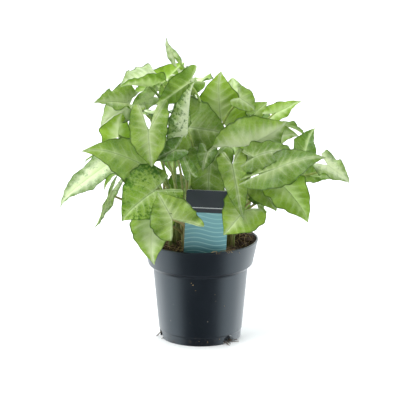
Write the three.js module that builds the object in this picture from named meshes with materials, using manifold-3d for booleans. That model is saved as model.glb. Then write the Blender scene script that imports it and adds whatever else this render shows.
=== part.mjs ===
// Arrowhead plant (Syngonium podophyllum) in a 12 cm nursery pot.
// Millimetres, +Z up. The origin is the middle of the pot's underside, and -Y is the plant's front.
import * as THREE from 'three';
import { mergeVertices } from 'three/addons/utils/BufferGeometryUtils.js';
import Module from 'manifold-3d';

const wasm = await Module();
wasm.setup();

// ---------------------------------------------------------------- driving dimensions
const GAP = 0.3;                    // clearance between solids that touch
const PAST = 1;                     // how far a cutter runs past the face that it cuts

const POT_HEIGHT = 105;
const RIM_RADIUS = 60;              // outer radius at the very top
const COLLAR_FOOT = { r: 54.4, z: 79 };
const BODY_TOP = { r: 49.5, z: 75 };           // where the wall slants out to the collar
const FOOT_RADIUS = 41.9;
const FOOT_BAND = 9;                // height of the slightly narrower band at the foot
const FOOT_STEP = 0.6;
const WALL = 1.4;
const FLOOR_HEIGHT = 8;             // underside of the raised floor
const PAD = { r: 14, slope: 3, gap: 1 };       // the floor's middle dips to the ground as a flat pad
const RIM_ROUND = 0.6;
const RIM_LEAN = 0.2;               // how much narrower the rim is under its rounding
const POT_SIDES = 32;
const NOTCH = { width: 13.5, height: 9, depth: 8, past: 4, firstAngle: -47, count: 3 };
const DRAIN_HOLE = { r: 3.5, ring: 28, firstAngle: 15, count: 6, sides: 10 };

const SOIL_LEVEL = 100.5;
const SOIL_SIDES = 24;
const SOIL_RINGS = [56.4, 44, 28, 14];
const SOIL_HEAP = { x: 48, y: 8, height: 5.5, spread: 14 };
const SOIL_ROUGHNESS = 0.9;

const LABEL = { width: 43, top: 168, shoulder: 96, point: 84, tipWidth: 8, thickness: 0.8, corner: 2.2 };
const LABEL_PLACE = { x: 5.5, y: -48.5, turn: 2.6 };   // middle of the plate, turn in degrees

const STEM_RADIUS = 5;
const STEM_DEPTH = 22;              // how deep a stem stands in the medium
const STEM_RISE = 2.5;              // how far it stands out
const STEM_SIDES = 9;

const BLADE_THICKNESS = 0.85;
const STALK = { foot: 1.7, joint: 1.2, end: 0.3, sides: 4, steps: 7, sunk: 2.5, under: 0.1, ring: 3.1 };
const BOW = { out: 0.04, rise: 0.5, in: 0.2, dip: 0.16 };  // a stalk's bend, in shares of its reach
const WAVES = { least: 1.1, more: 0.55, sideShift: 0.9 };  // turns along a blade's margin
const FOLD_EASE = 0.35;             // share of the fold that is lost at the margin
const LOBE_ROWS = 2;                // rows of the blade from a lobe's tip to the stalk
const BODY_ROWS = { small: 4, large: 5, from: 40 };      // rows from the stalk to the tip, by length
const HALF_COLUMNS = { small: 1, large: 2, from: 27 };   // columns from midrib to margin, by width
const USUAL = { splay: [0.66, 0.66], blunt: [0.3, 0.3], lift: 0.12, twist: 0 };  // most blades' shape

// One entry for each leafy stem: where it stands, and its leaves. A leaf's row gives
//   joint (where the stalk meets the blade), tip, way the upper face looks,
//   width, lobes' share of the length, fold, droop (degrees), height of the margin's waves,
// and where it departs from the usual shape:
//   folds (degrees), splay (the lobe's tip, in half widths) and blunt (how round the lobe is), each a
//   pair for the left and the right half; lift of both lobes; twist (degrees).
const STEMS = {
  stem_front_left: {
    foot: [-30, -13],
    leaves: [
      [[-50, -42, 188], [-116, -74, 219], [0.1, -0.9, 0.42], 56, 0.12, 0, 12, 3.2,
        { folds: [8, -34], splay: [0.8, 0.8], blunt: [0.6, 0.6] }],
      [[-96, -22, 188], [-147, -36, 150], [-0.35, -0.7, 0.65], 34, 0.3, 10, 36, 3.9,
        { folds: [6, 20], twist: -12 }],
      [[-90, -38, 164], [-106, -50, 127], [0.5, -0.8, 0.3], 13, 0.42, 50, 10, 2,
        { splay: [0.9, 0.2], twist: 40 }],
      [[-45, -64, 172], [-80, -80, 145], [-0.1, -1, 0.3], 60, 0.42, 10, 20, 3.9,
        { splay: [0.6, 0.1], blunt: [0.3, 1] }],
    ],
  },
  stem_front: {
    foot: [-14, -27],
    leaves: [
      [[-28, -84, 147], [-43, -80, 174], [0, -1, 0.4], 46, 0.6, 8, 20, 3.2,
        { folds: [4, 14], splay: [0.5, 1.05], blunt: [0, 0] }],
      [[-47, -54, 141], [-48, -80, 99], [0, -1, 0.35], 46, 0.3, 12, 12, 3.2,
        { folds: [18, 4] }],
      [[-52, -60, 232], [-48, -64, 195], [0.1, -1, 0.2], 38, 0.75, 12, 15, 3.2,
        { folds: [16, 6], splay: [1.1, 0.4], blunt: [1.2, 0.8], lift: 0.05 }],
      [[-25, -56, 212], [-48, -60, 202], [0, -1, 0.6], 24, 0.4, 24, 20, 2],
      [[-10, -62, 189], [-21, -56, 214], [0.2, -1, 0.2], 15, 0.2, 20, 30, 2,
        { splay: [0.5, 0.5], blunt: [1, 1] }],
    ],
  },
  stem_left: {
    foot: [-24, 8],
    leaves: [
      [[-50, -8, 267], [-82, -25, 272], [0, 0.15, 1], 54, 0.25, 24, 15, 3.9,
        { folds: [40, 66], lift: 0.3 }],
      [[-75, -18, 252], [-106, -38, 258], [0, -0.2, 1], 38, 0.4, 28, 10, 3.9,
        { folds: [-12, 66], lift: 0.3 }],
      [[-84, -30, 219], [-80, -30, 245], [-0.4, 0.9, 0.2], 36, 0.35, 18, 25, 3.9],
      [[-73, -12, 247], [-103, -22, 227], [-0.2, -0.8, 0.7], 34, 0.35, 12, 30, 3.9],
      [[-48, 2, 254], [-72, -4, 245], [0, -0.8, 0.6], 24, 0.35, 14, 20, 2.6],
    ],
  },
  stem_centre: {
    foot: [-4, -7],
    leaves: [
      [[-13, -46, 226], [-8, -38, 280], [0.1, -1, 0.2], 40, 0.12, 0, 35, 2.6,
        { folds: [8, -118], splay: [0.66, 0.3], blunt: [1, 0] }],
      [[-11, -10, 272], [-46, -24, 250], [0.1, 1, 0.3], 30, 0.3, 14, 30, 3.2],
      [[-13, -18, 227], [30, -20, 220], [-0.5, -0.9, 0.3], 60, 0.45, 8, 30, 3.9,
        { folds: [-8, 16], blunt: [1, 1] }],
      [[-26, 0, 294], [-36, -4, 315.5], [0, -1, 0.3], 12, 0.3, 34, 10, 0.7,
        { twist: 60 }],
      [[-42, 10, 264], [-17, 14, 289], [0.2, 1, 0.1], 34, 0.3, 14, 25, 3.2],
      [[-21, 4, 276], [0, -4, 263], [0.5, -0.8, 0.6], 20, 0.3, 12, 25, 3.2],
    ],
  },
  stem_front_centre: {
    foot: [12, -22],
    leaves: [
      [[10, -41, 197], [10, -43, 141], [0, -1, 0.15], 46, 0.25, 10, 20, 2.6,
        { folds: [14, -6], blunt: [1, 1] }],
      [[7, -48, 208], [2, -56, 189], [0, -1, 0.3], 20, 0.3, 16, 20, 1.3,
        { blunt: [1, 1] }],
      [[32, -54, 196], [42, -72, 142], [-0.2, -1, 0.1], 28, 0.25, 12, 15, 5,
        { folds: [-8, 20], splay: [0.7, 0.6], blunt: [1.3, 1.3], twist: 16 }],
      [[48, -46, 213], [88, -46, 237], [-0.1, -0.9, 0.4], 60, 0.6, 14, 25, 3.9,
        { folds: [12, -60], splay: [0.6, 0.6], blunt: [0, 0], lift: 0.3 }],
    ],
  },
  stem_front_right: {
    foot: [30, -18],
    leaves: [
      [[44, -58, 150], [23, -73, 128], [0.1, -1, 0.3], 46, 0.3, 12, 15, 3.2,
        { folds: [14, 6], splay: [0.6, 0.6], blunt: [1, 1] }],
      [[58, -30, 160], [76, -42, 151], [0, -0.8, 0.8], 26, 0.4, 14, 20, 2.6],
      [[59, -52, 177], [79, -60, 150], [-0.1, -0.9, 0.6], 32, 0.35, 14, 20, 2.6],
      [[84, -56, 174], [110, -68, 140], [0.2, -1, 0.3], 42, 0.45, 12, 20, 3.9,
        { folds: [44, 10], splay: [0.7, 0.95], blunt: [0, 0] }],
      [[75, -86, 200], [123, -94, 215], [-0.1, -0.9, 0.5], 42, 0.92, -10, 15, 3.9,
        { folds: [-46, 4], splay: [0.12, 0.1], blunt: [0, 0], lift: -0.08 }],
      [[53, -64, 206], [96, -72, 213], [0, -0.8, 0.7], 34, 0.35, -14, 40, 2.6,
        { splay: [0.8, 0.3] }],
    ],
  },
  stem_right: {
    foot: [30, 7],
    leaves: [
      [[128, -46, 194], [152, -52, 177], [0.1, -0.9, 0.6], 24, 0.4, 12, 40, 3.9],
      [[102, -36, 180], [135, -30, 175], [0, -0.8, 0.8], 22, 0.3, 16, 20, 2.6],
      [[106, -20, 201], [115, -10, 225], [-0.2, 0.9, 0.3], 28, 0.4, 16, 20, 3.9,
        { splay: [0.7, 0.3] }],
      [[75, -6, 238], [101, -14, 255], [0, -1, 0.6], 20, 0.35, 20, 10, 3.2],
      [[72, 6, 196], [118, 8, 166], [0.8, -0.1, 0.6], 52, 0.3, 10, 30, 3.5],
      [[54, 20, 151], [66, 30, 114], [1, 0.4, 0.4], 36, 0.3, 12, 20, 3.9],
      [[62, 0, 210], [101, -6, 218], [0, -0.8, 0.6], 34, 0.35, 12, 30, 3.9],
      [[66, 22, 222], [112, 36, 206], [0.5, 0.3, 0.8], 48, 0.25, 12, 35, 3.5],
    ],
  },
  stem_back_centre: {
    foot: [10, 12],
    leaves: [
      [[21, 10, 227], [19, 18, 278], [0, -1, 0.3], 56, 0.3, 10, 20, 3.9,
        { folds: [20, -8], blunt: [1, 1], twist: 20 }],
      [[33, 24, 251], [33, 32, 269], [0, -1, 0.3], 24, 0.35, 16, 20, 2.6],
      [[40, 2, 253], [58, 6, 239], [0, -0.8, 0.6], 26, 0.3, 16, 25, 2.6],
      [[54, 20, 231], [70, 24, 244], [0, -0.9, 0.6], 22, 0.3, 24, 10, 2.6],
      [[32, 34, 251], [51, 64, 248], [0.4, 0.4, 0.9], 30, 0.3, 14, 30, 3.9],
    ],
  },
  stem_back_right: {
    foot: [15, 33],
    leaves: [
      [[38, 44, 226], [75, 86, 206], [0.5, 0.6, 0.8], 52, 0.25, 10, 35, 3.5],
      [[8, 56, 238], [14, 108, 222], [0.1, 0.7, 0.8], 54, 0.3, 12, 35, 3.5],
      [[58, 42, 182], [98, 70, 148], [0.7, 0.5, 0.6], 54, 0.3, 10, 30, 3.5],
      [[26, 66, 196], [44, 112, 162], [0.3, 0.9, 0.6], 56, 0.3, 10, 30, 3.5],
      [[32, 54, 138], [46, 80, 98], [0.5, 0.9, 0.4], 44, 0.3, 12, 20, 3.9],
    ],
  },
  stem_back_left: {
    foot: [-10, 32],
    leaves: [
      [[-24, 52, 226], [-54, 98, 208], [-0.4, 0.7, 0.8], 50, 0.3, 10, 35, 3.5],
      [[-18, 68, 184], [-32, 112, 148], [-0.2, 0.9, 0.6], 56, 0.3, 10, 30, 3.5],
      [[-4, 40, 260], [7, 70, 260], [0, 0.6, 0.9], 36, 0.3, 16, 25, 3.9],
      [[-37, 34, 256], [-72, 54, 246], [-0.3, 0.6, 0.9], 42, 0.3, 14, 35, 3.9],
      [[-10, 60, 148], [-16, 86, 106], [-0.1, 1, 0.4], 46, 0.3, 12, 20, 3.9],
    ],
  },
  stem_far_left: {
    foot: [-33, 25],
    leaves: [
      [[-55, 24, 232], [-104, 44, 216], [-0.6, 0.3, 0.8], 40, 0.3, 12, 35, 3.5],
      [[-63, 46, 183], [-106, 62, 143], [-0.6, 0.6, 0.6], 34, 0.3, 10, 30, 3.5],
      [[-75, 8, 195], [-122, 14, 185], [-0.8, 0.2, 0.6], 34, 0.3, 10, 30, 3.5],
      [[-48, 40, 138], [-68, 58, 98], [-0.8, 0.8, 0.4], 44, 0.3, 12, 20, 3.9],
      [[-56, 8, 148], [-69, 10, 113], [-1, 0.1, 0.4], 34, 0.3, 12, 20, 3.9],
    ],
  },
};

// ---------------------------------------------------------------- small helpers
const SAME_POINT = 1e-4;            // vertices nearer than this are one
const radians = THREE.MathUtils.degToRad;
const vector = ([x, y, z]) => new THREE.Vector3(x, y, z);

// A repeatable number from 0 to 1 for each seed.
function random(seed) {
  const value = Math.sin(seed * 12.9898 + 4.1414) * 43758.5453;
  return value - Math.floor(value);
}

function toSolid(geometry) {
  const bare = geometry.clone();
  bare.deleteAttribute('normal');
  bare.deleteAttribute('uv');
  const merged = mergeVertices(bare, SAME_POINT);
  return new wasm.Manifold(new wasm.Mesh({
    numProp: 3,
    vertProperties: new Float32Array(merged.attributes.position.array),
    triVerts: new Uint32Array(merged.index.array),
  }));
}

function toGeometry(solid) {
  const mesh = solid.getMesh();
  const geometry = new THREE.BufferGeometry();
  geometry.setAttribute('position', new THREE.BufferAttribute(new Float32Array(mesh.vertProperties), 3));
  geometry.setIndex(new THREE.BufferAttribute(new Uint32Array(mesh.triVerts), 1));
  geometry.computeVertexNormals();
  return geometry;
}

function indexedGeometry(points, triangles) {
  const geometry = new THREE.BufferGeometry();
  geometry.setAttribute('position', new THREE.Float32BufferAttribute(points.flatMap((p) => p.toArray()), 3));
  geometry.setIndex(triangles.flat());
  return geometry;
}

function lathe(profile, sides) {
  const points = profile.map(([r, z]) => new THREE.Vector2(r, z));
  // LatheGeometry turns about Y: the quarter turn stands its axis up along Z.
  return new THREE.LatheGeometry(points, sides).rotateX(Math.PI / 2);
}

function cylinder(radius, low, high, x, y, sides) {
  const geometry = new THREE.CylinderGeometry(radius, radius, high - low, sides);
  return geometry.rotateX(Math.PI / 2).translate(x, y, (low + high) / 2);
}

// ---------------------------------------------------------------- pot
// Outer radius of the tapered body at height z.
function bodyRadius(z) {
  const foot = FOOT_RADIUS + FOOT_STEP;
  return foot + ((BODY_TOP.r - foot) * z) / BODY_TOP.z;
}

// The underside comes first, then the outside up to the rim, and the inside back down to the axis.
function potProfile() {
  const inside = FLOOR_HEIGHT + WALL;
  const footInside = FOOT_RADIUS - WALL;
  return [
    [0, 0], [PAD.r, 0], [PAD.r + PAD.slope, FLOOR_HEIGHT], [footInside - PAD.slope, FLOOR_HEIGHT],
    [footInside, 0], [FOOT_RADIUS, 0], [bodyRadius(FOOT_BAND) - FOOT_STEP, FOOT_BAND],
    [bodyRadius(FOOT_BAND), FOOT_BAND + FOOT_STEP],
    [BODY_TOP.r, BODY_TOP.z], [COLLAR_FOOT.r, COLLAR_FOOT.z],
    [RIM_RADIUS - RIM_LEAN, POT_HEIGHT - RIM_ROUND], [RIM_RADIUS - RIM_ROUND, POT_HEIGHT],
    [RIM_RADIUS - RIM_ROUND - WALL, POT_HEIGHT], [COLLAR_FOOT.r - WALL, COLLAR_FOOT.z + WALL],
    [BODY_TOP.r - WALL, BODY_TOP.z + WALL], [bodyRadius(inside) - WALL, inside],
    [PAD.r + PAD.slope - RIM_ROUND, inside], [PAD.r - RIM_ROUND, WALL], [0, WALL],
  ];
}

// An arch on the ground, long enough to pass through the foot ring.
function notchCutter(angle) {
  const half = NOTCH.width / 2;
  const spring = NOTCH.height - half;
  const arch = new THREE.Shape();
  arch.moveTo(-half, -PAST);
  arch.lineTo(half, -PAST);
  arch.lineTo(half, spring);
  arch.absarc(0, spring, half, 0, Math.PI, false);
  const extrude = { depth: NOTCH.depth + NOTCH.past, bevelEnabled: false, curveSegments: 6 };
  const geometry = new THREE.ExtrudeGeometry(arch, extrude).rotateX(Math.PI / 2);
  return geometry.translate(0, NOTCH.depth - FOOT_RADIUS, 0).rotateZ(radians(angle + 90));
}

function drainHoleCutter(angle) {
  const x = DRAIN_HOLE.ring * Math.cos(radians(angle));
  const y = DRAIN_HOLE.ring * Math.sin(radians(angle));
  const high = FLOOR_HEIGHT + WALL + PAST;
  return cylinder(DRAIN_HOLE.r, FLOOR_HEIGHT - PAST, high, x, y, DRAIN_HOLE.sides);
}

function makePot() {
  let pot = toSolid(lathe(potProfile(), POT_SIDES));
  for (let i = 0; i < NOTCH.count; i += 1) {
    pot = pot.subtract(toSolid(notchCutter(NOTCH.firstAngle + (360 * i) / NOTCH.count)));
  }
  for (let i = 0; i < DRAIN_HOLE.count; i += 1) {
    pot = pot.subtract(toSolid(drainHoleCutter(DRAIN_HOLE.firstAngle + (360 * i) / DRAIN_HOLE.count)));
  }
  return toGeometry(pot);
}

// ---------------------------------------------------------------- label
// The plate narrows to a stake under its shoulder. "grow" widens the outline for the slot.
function labelOutline(grow) {
  const half = LABEL.width / 2 + grow;
  const r = LABEL.corner;
  const tip = LABEL.tipWidth / 2 + grow;
  const shape = new THREE.Shape();
  shape.moveTo(-tip, LABEL.point - grow);
  shape.lineTo(tip, LABEL.point - grow);
  shape.lineTo(half, LABEL.shoulder);
  shape.lineTo(half, LABEL.top - r);
  shape.absarc(half - r, LABEL.top - r, r, 0, Math.PI / 2, false);
  shape.lineTo(r - half, LABEL.top);
  shape.absarc(r - half, LABEL.top - r, r, Math.PI / 2, Math.PI, false);
  shape.lineTo(-half, LABEL.shoulder);
  return shape;
}

function labelGeometry(grow) {
  const depth = LABEL.thickness + 2 * grow;
  const extrude = { depth, bevelEnabled: false, curveSegments: 4 };
  const geometry = new THREE.ExtrudeGeometry(labelOutline(grow), extrude);
  return geometry.translate(0, -(LABEL.top + LABEL.point) / 2, -depth / 2).rotateX(Math.PI / 2);
}

function placeLabel(object) {
  object.position.set(LABEL_PLACE.x, LABEL_PLACE.y, (LABEL.top + LABEL.point) / 2);
  object.rotation.y = radians(LABEL_PLACE.turn);
  object.updateMatrix();
  return object;
}

// ---------------------------------------------------------------- medium
// The medium fills the pot with a small gap all round, and its top is uneven, with a heap on one side.
function soilProfile() {
  const bottom = WALL + GAP;
  const inside = FLOOR_HEIGHT + bottom;
  const clearOfWall = (r) => (r - WALL) * Math.cos(Math.PI / POT_SIDES) - GAP;
  return [
    [0, bottom], [PAD.r - PAD.gap, bottom], [PAD.r + PAD.slope - PAD.gap, inside],
    [clearOfWall(bodyRadius(inside)), inside], [clearOfWall(BODY_TOP.r), BODY_TOP.z + bottom],
    [clearOfWall(COLLAR_FOOT.r), COLLAR_FOOT.z + bottom],
    ...SOIL_RINGS.map((r) => [r, SOIL_LEVEL]), [0, SOIL_LEVEL],
  ];
}

function roughenSoil(geometry) {
  const position = geometry.attributes.position;
  for (let i = 0; i < position.count; i += 1) {
    const [x, y, z] = [position.getX(i), position.getY(i), position.getZ(i)];
    if (z > SOIL_LEVEL - GAP) {
      const fromHeap = Math.hypot(x - SOIL_HEAP.x, y - SOIL_HEAP.y) / SOIL_HEAP.spread;
      const heap = SOIL_HEAP.height * Math.exp(-fromHeap * fromHeap);
      const grain = Math.sin(0.41 * x + 1.3) * Math.cos(0.37 * y) + Math.sin(0.93 * x - 0.71 * y);
      position.setZ(i, z + heap + SOIL_ROUGHNESS * grain);
    }
  }
  return geometry;
}

function makeSoil() {
  let soil = toSolid(roughenSoil(lathe(soilProfile(), SOIL_SIDES)));
  const slot = placeLabel(new THREE.Object3D());
  soil = soil.subtract(toSolid(labelGeometry(GAP).applyMatrix4(slot.matrix)));
  const low = SOIL_LEVEL - STEM_DEPTH - GAP;
  const high = SOIL_LEVEL + 2 * SOIL_HEAP.height;
  for (const { foot } of Object.values(STEMS)) {
    soil = soil.subtract(toSolid(cylinder(STEM_RADIUS + GAP, low, high, ...foot, STEM_SIDES)));
  }
  return toGeometry(soil);
}

// ---------------------------------------------------------------- leaves
// A blade lies in its own plane first: the stalk joins it at (0, 0), its tip is at (0, length) and its two
// lobes point back to y = -lobe. Three Bezier curves bound each half: the sinus between lobe and stalk, the
// lobe's outer shoulder, and the flank from the widest place to the tip. Their control points are in shares
// of half the width and of the lobe's or the blade's length, and a blunt lobe bulges farther.
function halfCurves({ width, length, lobe }, splay, blunt) {
  const at = (across, y) => new THREE.Vector2((across * width) / 2, y);
  const lobeTip = at(splay, -lobe);
  const nearTip = at((0.64 - 0.15 * blunt) * splay, -(0.8 + 0.23 * blunt) * lobe);
  const corner = at(0.6 * splay + 0.56 + 0.2 * blunt, -(0.7 + 0.27 * blunt) * lobe);
  const widest = at(1, 0.12 * length);
  const tip = at(0, length);
  return {
    sinus: new THREE.CubicBezierCurve(lobeTip, nearTip, at(0.27 * splay, -0.3 * lobe), at(0, 0)),
    shoulder: new THREE.CubicBezierCurve(lobeTip, corner, at(1.04, -0.3 * lobe), widest),
    flank: new THREE.CubicBezierCurve(widest, at(0.97, 0.48 * length), at(0.26, 0.78 * length), tip),
  };
}

// The rows of one half: each is a point on the sinus or midrib, and one on the margin.
function halfRows(leaf, splay, blunt) {
  const { sinus, shoulder, flank } = halfCurves(leaf, splay, blunt);
  const rows = [];
  for (let i = 0; i <= LOBE_ROWS; i += 1) {
    rows.push([sinus.getPoint(i / LOBE_ROWS), shoulder.getPoint(i / LOBE_ROWS)]);
  }
  const count = leaf.length < BODY_ROWS.from ? BODY_ROWS.small : BODY_ROWS.large;
  for (let i = 1; i <= count; i += 1) {
    rows.push([new THREE.Vector2(0, (leaf.length * i) / count), flank.getPoint(i / count)]);
  }
  return rows;
}

// Bends the flat blade: a fold along the midrib, waves that grow towards the margin, lobes that lift, a
// twist about the midrib, and a droop that curls the blade down along its length.
function bendPoint(x, y, leaf) {
  const side = x < 0 ? -1 : 1;
  const reach = Math.abs(x) / (leaf.width / 2);
  const swing = 2 * Math.PI * leaf.waves * (y / leaf.length) + leaf.phase + WAVES.sideShift * side;
  const fold = leaf.folds[x < 0 ? 0 : 1] * (1 - FOLD_EASE * reach);
  const lift = leaf.lift * (Math.min(y, 0) ** 2 / leaf.lobe);
  const flatAcross = side * Math.abs(x) * Math.cos(fold);
  const flatUp = Math.abs(x) * Math.sin(fold) + leaf.wave * reach * reach * Math.sin(swing) + lift;
  const twist = leaf.twist * (y / leaf.length);
  const up = flatAcross * Math.sin(twist) + flatUp * Math.cos(twist);
  const bend = leaf.droop / leaf.length;
  const turn = bend * y;
  return new THREE.Vector3(
    flatAcross * Math.cos(twist) - flatUp * Math.sin(twist),
    Math.sin(turn) / bend + up * Math.sin(turn),
    (Math.cos(turn) - 1) / bend + up * Math.cos(turn),
  );
}

function bladePoint(x, y, leaf) {
  return bendPoint(x, y, leaf).applyMatrix4(leaf.place);
}

function bladeNormal(x, y, leaf) {
  const step = 0.4;
  const across = bladePoint(x + step, y, leaf).sub(bladePoint(x - step, y, leaf));
  const along = bladePoint(x, y + step, leaf).sub(bladePoint(x, y - step, leaf));
  return across.cross(along).normalize();
}

// Turns a leaf's row into its place, its true length and its bends. The droop lowers the tip, so the blade
// sets off half that angle above the straight line from the joint to the tip.
function readLeaf(row, seed) {
  const [joint, tip, face, width, lobeShare, fold, droop, wave, shape] = row;
  const { folds = [fold, fold], splay, blunt, lift, twist } = { ...USUAL, ...shape };
  const base = vector(joint);
  const along = vector(tip).sub(base);
  const half = radians(droop) / 2;
  const length = (along.length() * half) / Math.sin(half);
  along.normalize();
  const up = vector(face);
  up.addScaledVector(along, -up.dot(along)).normalize();
  const across = new THREE.Vector3().crossVectors(along, up);
  const start = along.clone().multiplyScalar(Math.cos(half)).addScaledVector(up, Math.sin(half));
  const normal = new THREE.Vector3().crossVectors(across, start);
  return {
    base,
    start,
    normal,
    width,
    length,
    lobe: lobeShare * length,
    folds: folds.map(radians),
    droop: radians(droop),
    twist: radians(twist),
    splay,
    blunt,
    lift,
    wave,
    waves: WAVES.least + WAVES.more * random(seed + 0.5),
    phase: 2 * Math.PI * random(seed),
    place: new THREE.Matrix4().makeBasis(across, start, normal).setPosition(base),
  };
}

// Numbers the points of one half, row by row. A row that ends in a tip has one point.
function halfGrid(rows, side, spine, flat, halfColumns) {
  return rows.map(([inner, outer], i) => {
    const columns = i === 0 || i === rows.length - 1 ? 0 : halfColumns;
    return Array.from({ length: columns + 1 }, (_, column) => {
      if (column === 0 && spine[i] !== undefined) return spine[i];
      const point = inner.clone().lerp(outer, columns ? column / columns : 1);
      return flat.push([side * point.x, point.y]) - 1;
    });
  });
}

function halfTriangles(grid) {
  const triangles = [];
  for (let i = 1; i < grid.length; i += 1) {
    const [a, b] = [grid[i - 1], grid[i]];
    for (let c = 0; c < Math.max(a.length, b.length) - 1; c += 1) {
      if (a.length === 1) triangles.push([a[0], b[c + 1], b[c]]);
      else if (b.length === 1) triangles.push([a[c], a[c + 1], b[0]]);
      else triangles.push([a[c], a[c + 1], b[c + 1]], [a[c], b[c + 1], b[c]]);
    }
  }
  return triangles;
}

// The blade's two faces have the same triangles, one thickness apart, and a rim joins their edges.
function bladeGeometry(leaf) {
  const rows = [0, 1].map((half) => halfRows(leaf, leaf.splay[half], leaf.blunt[half]));
  const flat = [];
  const columns = leaf.width < HALF_COLUMNS.from ? HALF_COLUMNS.small : HALF_COLUMNS.large;
  const right = halfGrid(rows[1], 1, [], flat, columns);
  const spine = right.map((row, i) => (i >= LOBE_ROWS ? row[0] : undefined));
  const left = halfGrid(rows[0], -1, spine, flat, columns);
  const upper = [...halfTriangles(right), ...halfTriangles(left).map(([a, b, c]) => [a, c, b])];
  const count = flat.length;
  const lower = upper.map(([a, b, c]) => [c + count, b + count, a + count]);
  const edges = new Set(upper.flatMap(([a, b, c]) => [`${a},${b}`, `${b},${c}`, `${c},${a}`]));
  const rim = [];
  for (const edge of edges) {
    const [a, b] = edge.split(',').map(Number);
    if (!edges.has(`${b},${a}`)) rim.push([b, a, a + count], [b, a + count, b + count]);
  }
  const shifted = (offset) => flat.map(([x, y]) => (
    bladePoint(x, y, leaf).addScaledVector(bladeNormal(x, y, leaf), offset)));
  const points = [...shifted(BLADE_THICKNESS / 2), ...shifted(-BLADE_THICKNESS / 2)];
  return indexedGeometry(points, [...upper, ...lower, ...rim]);
}

// Gives each leaf of a stem its own place on a ring round the stem's top, in the order in which the leaves
// lie round it, so that the stalks fan out without crossing.
function ringAngles(leaves, foot) {
  const middle = leaves.reduce((sum, leaf) => sum.add(leaf.base), new THREE.Vector3());
  middle.divideScalar(leaves.length);
  const centre = Math.atan2(middle.y - foot[1], middle.x - foot[0]);
  const offset = ({ base }) => {
    const angle = Math.atan2(base.y - foot[1], base.x - foot[0]) - centre;
    return Math.atan2(Math.sin(angle), Math.cos(angle));
  };
  const order = leaves.map((leaf, i) => i).sort((a, b) => offset(leaves[a]) - offset(leaves[b]));
  const pitch = (2 * Math.PI) / leaves.length;
  return leaves.map((leaf, i) => centre + (order.indexOf(i) - (leaves.length - 1) / 2) * pitch);
}

// A stalk leaves the stem upright, arches out and ends sunk in the blade, just past the joint.
function stalkCurve(leaf, foot, angle) {
  const end = leaf.base.clone().addScaledVector(leaf.start, STALK.sunk);
  end.addScaledVector(leaf.normal, -STALK.under);
  const start = new THREE.Vector3(foot[0], foot[1], SOIL_LEVEL);
  start.x += STALK.ring * Math.cos(angle);
  start.y += STALK.ring * Math.sin(angle);
  const outward = new THREE.Vector3(end.x - start.x, end.y - start.y, 0).normalize();
  const reach = start.distanceTo(end);
  const leaving = start.clone().addScaledVector(outward, BOW.out * reach);
  leaving.z += BOW.rise * reach;
  const arriving = end.clone().addScaledVector(outward, -BOW.in * reach);
  arriving.z -= BOW.dip * reach;
  return new THREE.CubicBezierCurve3(start, leaving, arriving, end);
}

function stalkGeometry(leaf, foot, angle) {
  const curve = stalkCurve(leaf, foot, angle);
  const frames = curve.computeFrenetFrames(STALK.steps, false);
  const points = [];
  const triangles = [];
  for (let i = 0; i <= STALK.steps; i += 1) {
    const t = i / STALK.steps;
    const radius = t < 1 ? THREE.MathUtils.lerp(STALK.foot, STALK.joint, Math.sqrt(t)) : STALK.end;
    for (let k = 0; k < STALK.sides; k += 1) {
      const turn = (2 * Math.PI * k) / STALK.sides;
      const point = curve.getPointAt(t);
      point.addScaledVector(frames.normals[i], radius * Math.cos(turn));
      point.addScaledVector(frames.binormals[i], radius * Math.sin(turn));
      points.push(point);
      const [a, b] = [i * STALK.sides + k, i * STALK.sides + ((k + 1) % STALK.sides)];
      if (i < STALK.steps) triangles.push([a, b, b + STALK.sides], [a, b + STALK.sides, a + STALK.sides]);
    }
  }
  const last = STALK.steps * STALK.sides;
  for (let k = 1; k < STALK.sides - 1; k += 1) {
    triangles.push([0, k + 1, k], [last, last + k, last + k + 1]);
  }
  return indexedGeometry(points, triangles);
}

function makeStem({ foot, leaves }, seed) {
  const low = SOIL_LEVEL - STEM_DEPTH;
  const parts = [toSolid(cylinder(STEM_RADIUS, low, SOIL_LEVEL + STEM_RISE, ...foot, STEM_SIDES))];
  const blades = leaves.map((row, i) => readLeaf(row, seed + i));
  const angles = ringAngles(blades, foot);
  blades.forEach((leaf, i) => {
    parts.push(toSolid(stalkGeometry(leaf, foot, angles[i])), toSolid(bladeGeometry(leaf)));
  });
  return toGeometry(wasm.Manifold.union(parts));
}

// ---------------------------------------------------------------- the object
function mesh(name, geometry, color, roughness) {
  const material = new THREE.MeshStandardMaterial({ color, roughness, metalness: 0 });
  const object = new THREE.Mesh(geometry, material);
  object.name = name;
  return object;
}

const plant = new THREE.Group();
plant.add(mesh('pot', makePot(), '#2b3036', 0.4));
plant.add(mesh('soil', makeSoil(), '#3d2b1f', 0.95));
plant.add(placeLabel(mesh('label', labelGeometry(0), '#6f9ca0', 0.35)));
Object.entries(STEMS).forEach(([name, stem], i) => {
  plant.add(mesh(name, makeStem(stem, 10 * (i + 1)), '#8fae5f', 0.5));
});

export default plant;
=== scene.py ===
# An arrowhead plant in its nursery pot. The scene is in metres with +Z up, and -Y is the plant's front.
# Each piece is worked out in millimetres and scaled once, when its mesh is made.
import math
import random

import bmesh
import bpy
import numpy as np
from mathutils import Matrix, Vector, noise


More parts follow.
